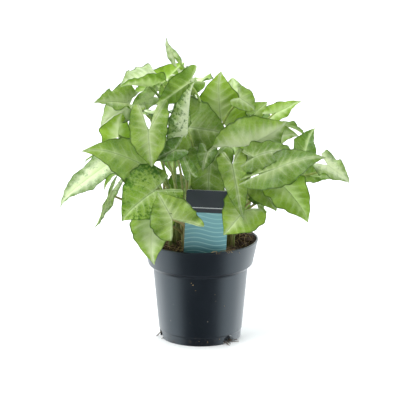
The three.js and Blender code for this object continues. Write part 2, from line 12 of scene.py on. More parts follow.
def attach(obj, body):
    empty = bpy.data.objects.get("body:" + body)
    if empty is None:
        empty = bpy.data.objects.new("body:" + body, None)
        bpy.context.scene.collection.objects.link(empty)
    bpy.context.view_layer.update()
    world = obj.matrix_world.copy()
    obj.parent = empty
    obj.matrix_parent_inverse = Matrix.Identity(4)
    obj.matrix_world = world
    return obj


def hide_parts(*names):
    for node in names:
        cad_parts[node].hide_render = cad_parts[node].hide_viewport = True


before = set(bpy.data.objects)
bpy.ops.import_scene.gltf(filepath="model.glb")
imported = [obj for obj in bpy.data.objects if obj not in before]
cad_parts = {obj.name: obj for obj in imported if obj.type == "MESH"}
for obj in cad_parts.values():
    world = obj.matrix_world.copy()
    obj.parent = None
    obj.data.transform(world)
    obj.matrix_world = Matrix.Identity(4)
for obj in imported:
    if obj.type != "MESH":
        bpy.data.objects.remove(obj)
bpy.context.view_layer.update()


# ---------------------------------------------------------------- nursery pot
# A grower's pot of polypropylene, injection moulded in one piece with a 1.4 mm wall. A collar stiffens
# the rim, the floor is raised on a ring, and three arches in that ring let the water out.
MM, WALL = 0.001, 1.4
POT_HEIGHT, RIM_RADIUS = 105, 60
LIP, LIP_FOOT, LIP_TOP = 0.35, 1.8, 1.2     # how far the lip stands out, and where, below the rim
COLLAR_FOOT = (54.4, 79)            # radius and height of the collar's lower edge
BODY_TOP = (49.5, 75)               # where the wall slants out to the collar
FOOT_RADIUS, FOOT_STEP, FOOT_BAND = 41.9, 0.6, 9        # the foot is set in, up to the band's height
FLOOR_HEIGHT, PAD_RADIUS, PAD_SLOPE = 8, 14, 3
PAD_NARROWER = 0.6                  # the pad is a hollow cone, so narrower inside
NOTCH_WIDTH, NOTCH_HEIGHT, NOTCH_DEPTH = 13.5, 9, 8
NOTCH_ANGLES = [-47 + 120 * i for i in range(3)]
DRAIN_RADIUS, DRAIN_RING = 3.5, 28
DRAIN_ANGLES = [15 + 60 * i for i in range(6)]
DRAIN_TURN = 6.08                   # radians: one side short of a full turn
CUT_PAST = 1                        # how far a cutter reaches past the wall
POT_SIDES, ARCH_POINTS, DRAIN_SIDES = 160, 15, 30
CRISP = 40                          # degrees: an edge that turns more is left sharp


def linear(colour):
    """The linear RGBA of an sRGB hex colour."""
    parts = [int(colour[i:i + 2], 16) / 255 for i in (1, 3, 5)]
    return [c / 12.92 if c <= 0.04045 else ((c + 0.055) / 1.055) ** 2.4 for c in parts] + [1]


def add(tree, kind, inputs=(), operation=None, out=0, stops=(), **settings):
    """Adds a node and returns one of its outputs. inputs gives its sockets, in order or by name, a value, a
    hex colour or another output; a MapRange's are its value, the range it has and the range it gets. The
    operation is a Math node's, and stops are the positions and hex colours of a ramp."""
    node = tree.nodes.new("ShaderNode" + kind)
    if operation:
        settings["operation"] = operation
    for name, value in settings.items():
        setattr(node, name, value)
    for i, (position, colour) in enumerate(stops):
        ramp = node.color_ramp.elements
        stop = ramp[i] if i < len(ramp) else ramp.new(position)
        stop.position, stop.color = position, linear(colour)
    for name, value in inputs.items() if isinstance(inputs, dict) else enumerate(inputs):
        if isinstance(value, bpy.types.NodeSocket):
            tree.links.new(value, node.inputs[name])
        else:
            node.inputs[name].default_value = linear(value) if isinstance(value, str) else value
    return node.outputs[out] if node.outputs else node


def per_metre(size):
    """How many forms of a size in millimetres go in a metre, to the nearest one: a pattern's Scale."""
    return round(1 / (size * MM))


MIX_COLOURS = {"out": 2, "data_type": "RGBA"}       # settings of a Mix of the colours on sockets 6 and 7


def new_material(name, finish, **look):
    """A node material. finish adds the nodes to its tree and returns the shader."""
    material = bpy.data.materials.new(name)
    material.use_nodes = True
    tree = material.node_tree
    tree.nodes.clear()
    add(tree, "OutputMaterial", [finish(tree, **look)])
    return material


def rounded(corners, steps=4):
    """A profile of (radius, height, rounding): each corner becomes a curve that starts that far from it."""
    points = []
    for i, (r, z, rounding) in enumerate(corners):
        corner = Vector((r, z))
        if rounding == 0:
            points.append(corner)
            continue
        before = Vector(corners[i - 1][:2]) - corner
        after = Vector(corners[i + 1][:2]) - corner
        a = corner + before.normalized() * min(rounding, before.length * 0.45)
        b = corner + after.normalized() * min(rounding, after.length * 0.45)
        for k in range(steps + 1):
            t = k / steps
            points.append(a * (1 - t) ** 2 + corner * 2 * t * (1 - t) + b * t * t)
    return [(p.x, p.y) for p in points]


def revolve(profile, sides):
    """Vertices and faces of a profile of (radius, height) that starts and ends on the Z axis."""
    rings = profile[1:-1]
    turn = [2 * math.pi * k / sides for k in range(sides)]
    vertices = [(r * math.cos(a), r * math.sin(a), z) for r, z in rings for a in turn]
    first, last = len(vertices), len(vertices) + 1
    vertices += [(0, 0, profile[0][1]), (0, 0, profile[-1][1])]
    faces = []
    for k in range(sides):
        n = (k + 1) % sides
        faces.append((first, n, k))
        for i in range(len(rings) - 1):
            low, high = i * sides, (i + 1) * sides
            faces.append((low + k, low + n, high + n, high + k))
        low = (len(rings) - 1) * sides
        faces.append((low + k, low + n, last))
    return vertices, faces


def shade_smooth(mesh, sharp):
    """Smooth shading, with edges over the angle "sharp" left crisp."""
    mesh.polygons.foreach_set("use_smooth", [True] * len(mesh.polygons))
    mesh.set_sharp_from_angle(angle=math.radians(sharp))


def make_object(name, vertices, faces, materials=(), sharp=CRISP):
    """A smooth-shaded mesh object from millimetres."""
    mesh = bpy.data.meshes.new(name)
    mesh.from_pydata((np.array(vertices, dtype=float) * MM).tolist(), [], faces)
    shade_smooth(mesh, sharp)
    for material in materials:
        mesh.materials.append(material)
    piece = bpy.data.objects.new(name, mesh)
    bpy.context.scene.collection.objects.link(piece)
    return piece


def pot_cutters():
    """One mesh of the three arches and the six drain holes, as prisms."""
    vertices, faces = [], []

    def prism(outline, move):
        start, count = len(vertices), len(outline)
        vertices.extend(move(u, v, 0) for u, v in outline)
        vertices.extend(move(u, v, 1) for u, v in outline)
        faces.append([start + i for i in range(count)][::-1])
        faces.append([start + count + i for i in range(count)])
        for i in range(count):
            n = (i + 1) % count
            faces.append([start + i, start + n, start + count + n, start + count + i])

    half = NOTCH_WIDTH / 2
    arch = [(half * math.cos(a), NOTCH_HEIGHT - half + half * math.sin(a))
            for a in np.linspace(0, math.pi, ARCH_POINTS)]
    arch = [(half, -CUT_PAST), *arch, (-half, -CUT_PAST)]
    for angle in NOTCH_ANGLES:
        c, s = math.cos(math.radians(angle)), math.sin(math.radians(angle))

        def radial(u, v, w):
            r = FOOT_RADIUS - NOTCH_DEPTH + 1.5 * NOTCH_DEPTH * w
            return (r * c - u * s, r * s + u * c, v)

        prism(arch, radial)
    circle = [(DRAIN_RADIUS * math.cos(a), DRAIN_RADIUS * math.sin(a))
              for a in np.linspace(0, DRAIN_TURN, DRAIN_SIDES)]
    for angle in DRAIN_ANGLES:
        x, y = DRAIN_RING * math.cos(math.radians(angle)), DRAIN_RING * math.sin(math.radians(angle))
        prism(circle, lambda u, v, w: (x + u, y + v, FLOOR_HEIGHT - CUT_PAST + (WALL + 2 * CUT_PAST) * w))
    return vertices, faces


def body_radius(z):
    """Outer radius of the tapered body at a height."""
    foot = FOOT_RADIUS + FOOT_STEP
    return foot + (BODY_TOP[0] - foot) * z / BODY_TOP[1]


def pot_profile():
    """The underside, then the outside up to the rim, and the inside back down to the axis."""
    inside = FLOOR_HEIGHT + WALL
    foot_inside = FOOT_RADIUS - WALL
    return rounded([
        (0, 0, 0), (PAD_RADIUS, 0, 1), (PAD_RADIUS + PAD_SLOPE, FLOOR_HEIGHT, 1),
        (foot_inside - PAD_SLOPE, FLOOR_HEIGHT, 1), (foot_inside, 0, 0.4), (FOOT_RADIUS, 0, 0.5),
        (body_radius(FOOT_BAND) - FOOT_STEP, FOOT_BAND - 0.4, 0.5),
        (body_radius(FOOT_BAND), FOOT_BAND + 0.6, 0.6),
        (*BODY_TOP, 1.2), (*COLLAR_FOOT, 1.0),
        (RIM_RADIUS - LIP, POT_HEIGHT - LIP_FOOT, 0.5), (RIM_RADIUS, POT_HEIGHT - LIP_TOP, 0.4),
        (RIM_RADIUS - 0.1, POT_HEIGHT, 0.7), (RIM_RADIUS - WALL - 0.6, POT_HEIGHT, 0.6),
        (COLLAR_FOOT[0] - WALL, COLLAR_FOOT[1] + WALL, 1), (BODY_TOP[0] - WALL, BODY_TOP[1] + WALL, 1),
        (body_radius(inside) - WALL, inside, 1.5), (PAD_RADIUS + PAD_SLOPE - PAD_NARROWER, inside, 1),
        (PAD_RADIUS - PAD_NARROWER, WALL, 1), (0, WALL, 0),
    ])


def polypropylene(tree):
    """Moulded polypropylene: satin, faintly cloudy, with a few splashes of peat and pale dust."""
    place = add(tree, "TexCoord", out="Object")
    cloud = add(tree, "TexNoise", {"Vector": place, "Scale": per_metre(33.3), "Detail": 3})
    tint = add(tree, "ValToRGB", [cloud], stops=[(0.3, "#10161e"), (0.7, "#161c24")])
    # Dust sticks in dots about 1 mm wide, one in a cell of 9 mm and only in some cells.
    cells = add(tree, "TexVoronoi", {"Vector": place, "Scale": per_metre(9.1)}, out="Distance")
    chosen = add(tree, "SeparateColor", [cells.node.outputs["Color"]])
    near = add(tree, "MapRange", [cells, 0.035, 0.075, 1, 0])
    picked = add(tree, "Math", [chosen, 0.62], "GREATER_THAN")
    dots = add(tree, "Math", [near, picked], "MULTIPLY")
    faint = add(tree, "Math", [dots, 0.55], "MULTIPLY")
    dusty = add(tree, "Mix", {0: faint, 6: tint, 7: "#a59a8c"}, **MIX_COLOURS)
    # Splashed peat dries in a thin film on the foot, up to 14 mm.
    height = add(tree, "SeparateXYZ", [place], out="Z")
    low = add(tree, "MapRange", [height, 0.002, 0.014, 1, 0])
    blot = add(tree, "TexNoise", {"Vector": place, "Scale": per_metre(3.85), "Detail": 5, "Roughness": 0.7})
    patch = add(tree, "MapRange", [blot, 0.52, 0.68])
    film = add(tree, "Math", [low, patch], "MULTIPLY")
    thin = add(tree, "Math", [film, 0.35], "MULTIPLY")
    stained = add(tree, "Mix", {0: thin, 6: dusty, 7: "#5a4735"}, **MIX_COLOURS)
    # The satin is uneven, and dull where there is dust or peat.
    gloss = add(tree, "MapRange", [cloud, 0.3, 0.7, 0.3, 0.36])
    dull = add(tree, "Math", [dots, film], "MAXIMUM")
    rough = add(tree, "Math", [dull, 0.4, gloss], "MULTIPLY_ADD")
    # The mould's grain is finer than a tenth of a millimetre. It is drawn as coarse as it needs to show.
    grain = add(tree, "TexNoise", {"Vector": place, "Scale": per_metre(1.111), "Detail": 2})
    bump = add(tree, "Bump", {"Strength": 0.12, "Distance": 0.0002, "Height": grain}, out="Normal")
    # Its gloss is tinted cool: a painted tint of its reflections that stands in for bluish light.
    return add(tree, "BsdfPrincipled", {
        "Base Color": stained, "Roughness": rough, "Normal": bump, "IOR": 1.49,
        "Specular Tint": "#eaf8ff"})


pot_finish = new_material("moulded_polypropylene", polypropylene)
pot = make_object("pot_moulding", *revolve(pot_profile(), POT_SIDES), [pot_finish])
cutters = make_object("pot_cutters", *pot_cutters())
cut = pot.modifiers.new("holes", "BOOLEAN")
cut.operation, cut.solver, cut.object = "DIFFERENCE", "EXACT", cutters
carved = bpy.data.meshes.new_from_object(pot.evaluated_get(bpy.context.evaluated_depsgraph_get()))
pot.modifiers.clear()
pot.data = carved
shade_smooth(carved, CRISP)
bpy.data.objects.remove(cutters)
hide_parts("pot")
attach(pot, "root")


# ---------------------------------------------------------------- potting mix
# Moist peat with coir, filled by hand to just under the rim and heaped a little at one side. Its crumbs
# and the loose fibres of the coir lie on it as they fell, and some hang over the rim.
SOIL_LEVEL, SOIL_RADIUS = 100.5, 57.0
SOIL_SINK, SOIL_GAP = 0.3, 0.3      # how far the filling stays clear of the floor and of the wall
SOIL_HEAP = (48, 8, 5.5, 14)        # x, y, height and spread
SOIL_SWELL, SOIL_RUBBLE, RUBBLE_SIZE = 0.6, 1.3, 5  # heights of the slow swells and of the lumps, lumps' size
SOIL_SIDES, SOIL_RINGS = 150, 58
CRUMBS, CRUMB_SIZE, CRUMB_REACH = 620, (0.5, 2.1), 56
CRUMB_SHAPE, CRUMB_KNOCK, CRUMB_LUMPS = (1.2, 1, 0.75), 0.55, 1.3   # flattened, and knocked out of round
FIBRES, FIBRE_REACH = 170, 50
FIBRE_RADIUS = 0.28                 # coir is half as thick, and would not show
FIBRE_LENGTH, FIBRE_LIFT, FIBRE_BEND, FIBRE_TAPER = (6, 20), (0.3, 3.2), 1.6, 0.6
FIBRE_STEPS, FIBRE_SIDES = 6, 5
RIM_FIBRES, RIM_FIBRE_ANGLES, RIM_FIBRE_DROP = 12, (-88, -52), (0.4, 2.6)
RIM_FIBRE_START, RIM_FIBRE_RUN = 3.0, (2.2, 3.5)    # from so far inside the rim, so far outwards
RIM_FIBRE_DRIFT = 8                 # degrees round the rim
SMOOTH = 180                        # degrees: no edge is left sharp
LABEL_X, LABEL_Y, LABEL_WIDTH = 5.5, -48.5, 43
LABEL_CLEAR = 3                     # no crumb or fibre starts nearer to the label's plate


def soil_height(x, y):
    """Height of the mix's surface."""
    from_heap = math.hypot(x - SOIL_HEAP[0], y - SOIL_HEAP[1]) / SOIL_HEAP[3]
    swell = SOIL_SWELL * (math.sin(0.41 * x + 1.3) * math.cos(0.37 * y) + math.sin(0.93 * x - 0.71 * y))
    rubble = noise.fractal(Vector((x / RUBBLE_SIZE, y / RUBBLE_SIZE, 0)), 0.7, 2.1, 5)
    return SOIL_LEVEL + SOIL_HEAP[2] * math.exp(-from_heap ** 2) + swell + SOIL_RUBBLE * rubble


def soil_body():
    """The filling: it follows the inside of the pot, and its top is displaced."""
    bottom = WALL + SOIL_SINK
    profile = [
        (0, bottom), (PAD_RADIUS - 1, bottom), (PAD_RADIUS + PAD_SLOPE - 1, FLOOR_HEIGHT + bottom),
        (body_radius(FLOOR_HEIGHT + bottom) - WALL - SOIL_GAP, FLOOR_HEIGHT + bottom),
        (BODY_TOP[0] - WALL - SOIL_GAP, BODY_TOP[1] + bottom),
        (COLLAR_FOOT[0] - WALL - SOIL_GAP, COLLAR_FOOT[1] + bottom),
        *((r, SOIL_LEVEL) for r in np.linspace(SOIL_RADIUS, 0, SOIL_RINGS)),
    ]
    vertices, faces = revolve(profile, SOIL_SIDES)
    vertices = [(x, y, soil_height(x, y) if z > SOIL_LEVEL - 1 else z) for x, y, z in vertices]
    return vertices, faces


def tube(path, radii, sides):
    """Vertices and faces of a closed round tube along a path, without twist."""
    path = np.array(path, dtype=float)
    ahead = np.gradient(path, axis=0)
    ahead /= np.linalg.norm(ahead, axis=1)[:, None]
    normal = np.cross(ahead[0], (0.31, 0.87, 0.38))     # any direction that no path starts in
    vertices, faces = [], []
    for i, (point, radius) in enumerate(zip(path, radii)):
        normal = normal - ahead[i] * normal.dot(ahead[i])
        normal /= np.linalg.norm(normal)
        side = np.cross(ahead[i], normal)
        for k in range(sides):
            a = 2 * math.pi * k / sides
            vertices.append(point + radius * (math.cos(a) * normal + math.sin(a) * side))
    for i in range(len(path) - 1):
        for k in range(sides):
            a, b = i * sides + k, i * sides + (k + 1) % sides
            faces.append((a, b, b + sides, a + sides))
    faces.append(tuple(range(sides))[::-1])
    last = (len(path) - 1) * sides
    faces.append(tuple(range(last, last + sides)))
    return vertices, faces


def joined(parts):
    """One mesh from several (vertices, faces)."""
    vertices, faces = [], []
    for some, others in parts:
        start = len(vertices)
        vertices.extend(some)
        faces.extend([start + i for i in face] for face in others)
    return vertices, faces


def crumb(centre, size, rng):
    """One lump: a small ball, squashed and knocked about."""
    form = bmesh.new()
    bmesh.ops.create_icosphere(form, subdivisions=1, radius=1)
    shift = Vector([rng.uniform(-9, 9) for _ in range(3)])
    vertices = []
    for v in form.verts:
        knocked = v.co * size * (1 + CRUMB_KNOCK * noise.noise(v.co * CRUMB_LUMPS + shift))
        vertices.append([c + p * flat for c, p, flat in zip(centre, knocked, CRUMB_SHAPE)])
    faces = [[v.index for v in f.verts] for f in form.faces]
    form.free()
    return vertices, faces


def scatter(count, reach, rng):
    """Points on the mix, clear of the label's plate."""
    while count:
        r, a = reach * math.sqrt(rng.random()), rng.uniform(0, 2 * math.pi)
        x, y = r * math.cos(a), r * math.sin(a)
        if abs(y - LABEL_Y) >= LABEL_CLEAR or abs(x - LABEL_X) >= LABEL_WIDTH / 2 + 2:
            count -= 1
            yield x, y


def fibre(start, heading, length, lift, rng):
    """A springy strand that bows up from the mix and comes down again, thinner towards its ends."""
    path, radii = [], []
    bend = rng.uniform(-FIBRE_BEND, FIBRE_BEND)
    x, y = start
    for i in range(FIBRE_STEPS + 1):
        t = i / FIBRE_STEPS
        path.append((x, y, soil_height(x, y) + 0.2 + lift * math.sin(math.pi * t) ** 0.8))
        radii.append(FIBRE_RADIUS * (1 - FIBRE_TAPER * abs(2 * i / FIBRE_STEPS - 1)))
        x += length / FIBRE_STEPS * math.cos(heading + bend * t)
        y += length / FIBRE_STEPS * math.sin(heading + bend * t)
    return tube(path, radii, FIBRE_SIDES)


def rim_fibre(angle, rng):
    """A strand that lies over the rim. Half of them hang with their end down the outside."""
    drift = rng.uniform(-RIM_FIBRE_DRIFT, RIM_FIBRE_DRIFT)
    drop = rng.uniform(*RIM_FIBRE_DROP)
    over = rng.random() < 0.5
    path = []
    for i in range(FIBRE_STEPS + 1):
        t = i / FIBRE_STEPS
        a = math.radians(angle + drift * (t - 0.5))
        r = RIM_RADIUS - RIM_FIBRE_START + RIM_FIBRE_RUN[over] * t
        z = POT_HEIGHT + 0.35 + 0.5 * math.sin(math.pi * t) - (drop * max(0, t - 0.75) * 4 if over else 0)
        path.append((r * math.cos(a), r * math.sin(a), z))
    return tube(path, [0.8 * FIBRE_RADIUS] * len(path), FIBRE_SIDES)


def peat(tree):
    """Moist peat: almost black-brown crumbs, with lighter bark and coir dust in between."""
    place = add(tree, "TexCoord", out="Object")
    lumps = add(tree, "TexNoise", {"Vector": place, "Scale": per_metre(2.38), "Detail": 6, "Roughness": 0.75})
    tint = add(tree, "ValToRGB", [lumps], stops=[(0.34, "#1c130c"), (0.60, "#4a3422"), (0.74, "#8a6238")])
    bump = add(tree, "Bump", {"Strength": 0.6, "Distance": 0.0008, "Height": lumps}, out="Normal")
    rough = add(tree, "MapRange", [lumps, 0.3, 0.7, 0.7, 0.95])
    return add(tree, "BsdfPrincipled", {"Base Color": tint, "Roughness": rough, "Normal": bump, "IOR": 1.4})


def coir(tree):
    """Coconut fibre: dry, straw brown, each strand a little lighter or darker than the next."""
    place = add(tree, "TexCoord", out="Object")
    streak = add(tree, "TexNoise", {"Vector": place, "Scale": per_metre(11.1), "Detail": 2})
    tint = add(tree, "ValToRGB", [streak], stops=[(0.35, "#5c4a30"), (0.65, "#b0976a")])
    return add(tree, "BsdfPrincipled", {"Base Color": tint, "Roughness": 0.8})


peat_finish = new_material("moist_peat", peat)
coir_finish = new_material("coconut_coir", coir)
mix = make_object("potting_mix", *soil_body(), [peat_finish], sharp=SMOOTH)
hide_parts("soil")
dice = random.Random(11)
lumps = [crumb((x, y, soil_height(x, y) + 0.2), dice.uniform(*CRUMB_SIZE) * dice.uniform(0.6, 1), dice)
         for x, y in scatter(CRUMBS, CRUMB_REACH, dice)]
crumbs = make_object("mix_crumbs", *joined(lumps), [peat_finish], sharp=SMOOTH)
strands = [
    fibre(p, dice.uniform(0, 2 * math.pi), dice.uniform(*FIBRE_LENGTH), dice.uniform(*FIBRE_LIFT), dice)
    for p in scatter(FIBRES, FIBRE_REACH, dice)]
strands += [rim_fibre(dice.uniform(*RIM_FIBRE_ANGLES), dice) for _ in range(RIM_FIBRES)]
fibres = make_object("coir_fibres", *joined(strands), [coir_finish], sharp=SMOOTH)
for piece in (mix, crumbs, fibres):
    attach(piece, "root")


# ---------------------------------------------------------------- plant label
# A flat stake label of polystyrene sheet, die cut and offset printed on its front: a dark band above a
# teal field with fine waved lines of a lighter teal. It carries no words.
LABEL_TOP, LABEL_POINT, BAND_HEIGHT = 168, 84, 23.5
LABEL_TURN = 2.6                    # degrees about Y
FIELD_FADE = -26                    # where the field is darkest, below the label's middle
WAVE_PITCH, WAVE_RISE = 4.6, 1.6    # distance between two printed lines, and half the height of their waves
WAVE_LENGTH = 41.9
RULE_HEIGHT, RULE_HALF, RULE_THICKNESS = 5, 16, 0.35    # a plain rule, this far above the field


def printed_label(tree):
    """Ink under a satin varnish: even colour, soft sheen, and the bare white sheet at the cut edges."""
    place = add(tree, "TexCoord", out="Object")
    middle = (LABEL_X * MM, LABEL_Y * MM, (LABEL_TOP + LABEL_POINT) / 2 * MM)
    turn = (0, math.radians(LABEL_TURN), 0)
    own = add(tree, "Mapping", {"Vector": place, "Location": middle, "Rotation": turn}, vector_type="TEXTURE")
    axes = add(tree, "SeparateXYZ", [own]).node.outputs
    edge = ((LABEL_TOP - LABEL_POINT) / 2 - BAND_HEIGHT) * MM
    # The field darkens towards the stake.
    down = add(tree, "MapRange", [axes["Z"], FIELD_FADE * MM, edge])
    field = add(tree, "ValToRGB", [down], stops=[(0, "#45787f"), (1, "#6fa2a9")])
    # Waved lines, from a count of the heights that a sine lifts.
    bow = add(tree, "Math", [axes["X"], 2 * math.pi / (WAVE_LENGTH * MM)], "MULTIPLY")
    swing = add(tree, "Math", [bow], "SINE")
    lifted = add(tree, "Math", [swing, WAVE_RISE * MM, axes["Z"]], "MULTIPLY_ADD")
    count = add(tree, "Math", [lifted, 1 / (WAVE_PITCH * MM)], "MULTIPLY")
    away = add(tree, "Math", [count, 0.5], "PINGPONG")
    line = add(tree, "MapRange", [away, 0.05, 0.12, 0.5, 0])
    lined = add(tree, "Mix", {0: line, 6: field, 7: "#a3cfce"}, **MIX_COLOURS)
    # The dark band, and a plain pale rule on it.
    above = add(tree, "Math", [axes["Z"], edge], "GREATER_THAN")
    banded = add(tree, "Mix", {0: above, 6: lined, 7: "#353b42"}, **MIX_COLOURS)
    level = add(tree, "Math", [axes["Z"], edge + RULE_HEIGHT * MM, RULE_THICKNESS * MM], "COMPARE")
    inner = add(tree, "Math", [axes["X"]], "ABSOLUTE")
    short = add(tree, "Math", [inner, RULE_HALF * MM], "LESS_THAN")
    rule = add(tree, "Math", [level, short], "MULTIPLY")
    ruled = add(tree, "Mix", {0: rule, 6: banded, 7: "#c9cdd0"}, **MIX_COLOURS)
    # Only the front is printed.
    facing = add(tree, "SeparateXYZ", [add(tree, "NewGeometry", out="Normal")], out="Y")
    front = add(tree, "Math", [facing, -0.7], "LESS_THAN")
    colour = add(tree, "Mix", {0: front, 6: "#dfe1de", 7: ruled}, **MIX_COLOURS)
    # The sheet's own grain is too fine to see, and is drawn as coarse as it needs to show.
    grain = add(tree, "TexNoise", {"Vector": place, "Scale": per_metre(1.429), "Detail": 2})
    bump = add(tree, "Bump", {"Strength": 0.05, "Distance": 0.0002, "Height": grain}, out="Normal")
    return add(tree, "BsdfPrincipled", {"Base Color": colour, "Roughness": 0.42, "IOR": 1.55, "Normal": bump})


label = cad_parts["label"]
label.data.materials.clear()
label.data.materials.append(new_material("printed_polystyrene", printed_label))


# ---------------------------------------------------------------- leafy stems
# Young rooted plants, each a short stem of sheathing leaf bases with long stalks. A blade is arrow-shaped
# and thin, with a waved edge, raised ribs beneath and pale tissue along the ribs. All of it has grown.
BLADE_THICKNESS, EDGE_THINNER = 0.5, 0.5        # a blade thins by that share towards its margin
LOBE_ROWS, BODY_ROWS, HALF_COLUMNS, COLUMN_EASE = 14, 36, 12, 1.2
# A half blade's outline is drawn by Bezier curves, whose pulls are shares of the half width and of the
# length of the lobe or of the body. Bluntness moves the two pulls beside the lobe's tip.
WIDEST = 0.12
TIP_PULL, TIP_BLUNTED = (0.64, 0.8), (-0.15, 0.23)
CORNER_PULL, CORNER_BLUNTED, CORNER_SPLAY = (0.56, 0.7), (0.2, 0.27), 0.6
SINUS_PULL, SHOULDER_PULL = (0.27, 0.3), (1.04, 0.3)
FLANK_PULL, POINT_PULL = (0.97, 0.48), (0.26, 0.78)
SPLAY, BLUNT, LIFT = (0.66, 0.66), (0.3, 0.3), 0.12     # a lobe's usual direction, bluntness and rise
FOLD_EASE = 0.35                    # share of the fold that is lost at the margin
WAVES_LEAST, WAVES_MORE, SIDE_SHIFT = 1.1, 0.55, 0.9    # turns of the large waves along a blade's margin
RIPPLE_HEIGHT, RIPPLE_LENGTH = 2.0, 15.0        # small waves between them, which die out inwards
RIPPLE_LEAST, RIPPLE_MORE = 0.4, 1.2            # share of that height on the flattest leaf, and the range
EDGE_WOBBLE, EDGE_PITCH = 0.045, 15.0   # how far the margin wanders in its own plane, a share of its reach
WOBBLE_EASE = 5                     # rows from the lobe's tip in which that grows
MIDRIB_BOW, TIP_HOOK, TIP_CURL = 0.05, 0.07, 0.06   # bends that make no two alike, in shares of the length
HOOKED, HOOK_START = 0.35, 1.86     # the last 35% of the blade hooks and curls, as 0.65 / 0.35 is 1.86
VEIN_SHARE, VEIN_LEAST = 0.17, 8    # distance between side veins: a share of the length, and the least
VEIN_LEAN, VEIN_CURVE, VEIN_FIRST = 0.45, 0.5, 0.35     # how they lean and curve, and where the first one is
LOBE_VEIN_LEAN, LOBE_VEIN_FIRST = 0.6, 0.5
QUILT = 0.45                        # how far the blade is puffed up between its side veins
QUILT_RISE, QUILT_EDGE = 4, 1.4     # that is whole at 1 / 4 of the way to the margin, and 0.4 of it there
QUILT_STALK = 4                     # and whole from 4 mm past the stalk
GROOVE_DEPTH, GROOVE_REACH = 0.5, 1.5           # the midrib lies in a groove above
RIB_DEPTH, RIB_REACH, RIB_TAPER = 0.9, 0.9, 0.8     # and stands out below, less towards the tip
STEM_RADIUS, STEM_DEPTH, STEM_SIDES = 5, 22, 20
SCARS_FROM, SCARS_HIGH, SCAR_ROWS = -4, 6.5, 14     # the ringed part: its foot over the mix, height, rows
SCAR_RELIEF, SCAR_TURN = 0.35, 2.1  # the rings' height, and radians in a millimetre
STEM_CROWN = [(4.2, 3.4), (2.6, 4.6), (0, 5)]   # radius and height over the mix where the stalks leave it
STALK_FOOT, STALK_JOINT, STALK_SUNK, STALK_RING = 1.7, 1.2, 2.5, 3.1
STALK_DROP, STALK_END = 0.6, 0.5    # how far it runs in under the blade, and its last radius
STALK_STEPS, STALK_SIDES = 26, 10
SHEATH, SHEATH_SHARE = 0.7, 0.22    # how much thicker the foot is, and for which share of the stalk
KNEE, KNEE_PLACE, KNEE_REACH = 0.25, 0.95, 0.03         # the swelling under the blade
BOW_OUT, BOW_RISE, BOW_IN, BOW_DIP = 0.04, 0.5, 0.2, 0.16    # a stalk's bend, in shares of its reach
LEAF_VALUES = ("ribs", "veins", "tones", "age")     # what each vertex tells the leaf's materials
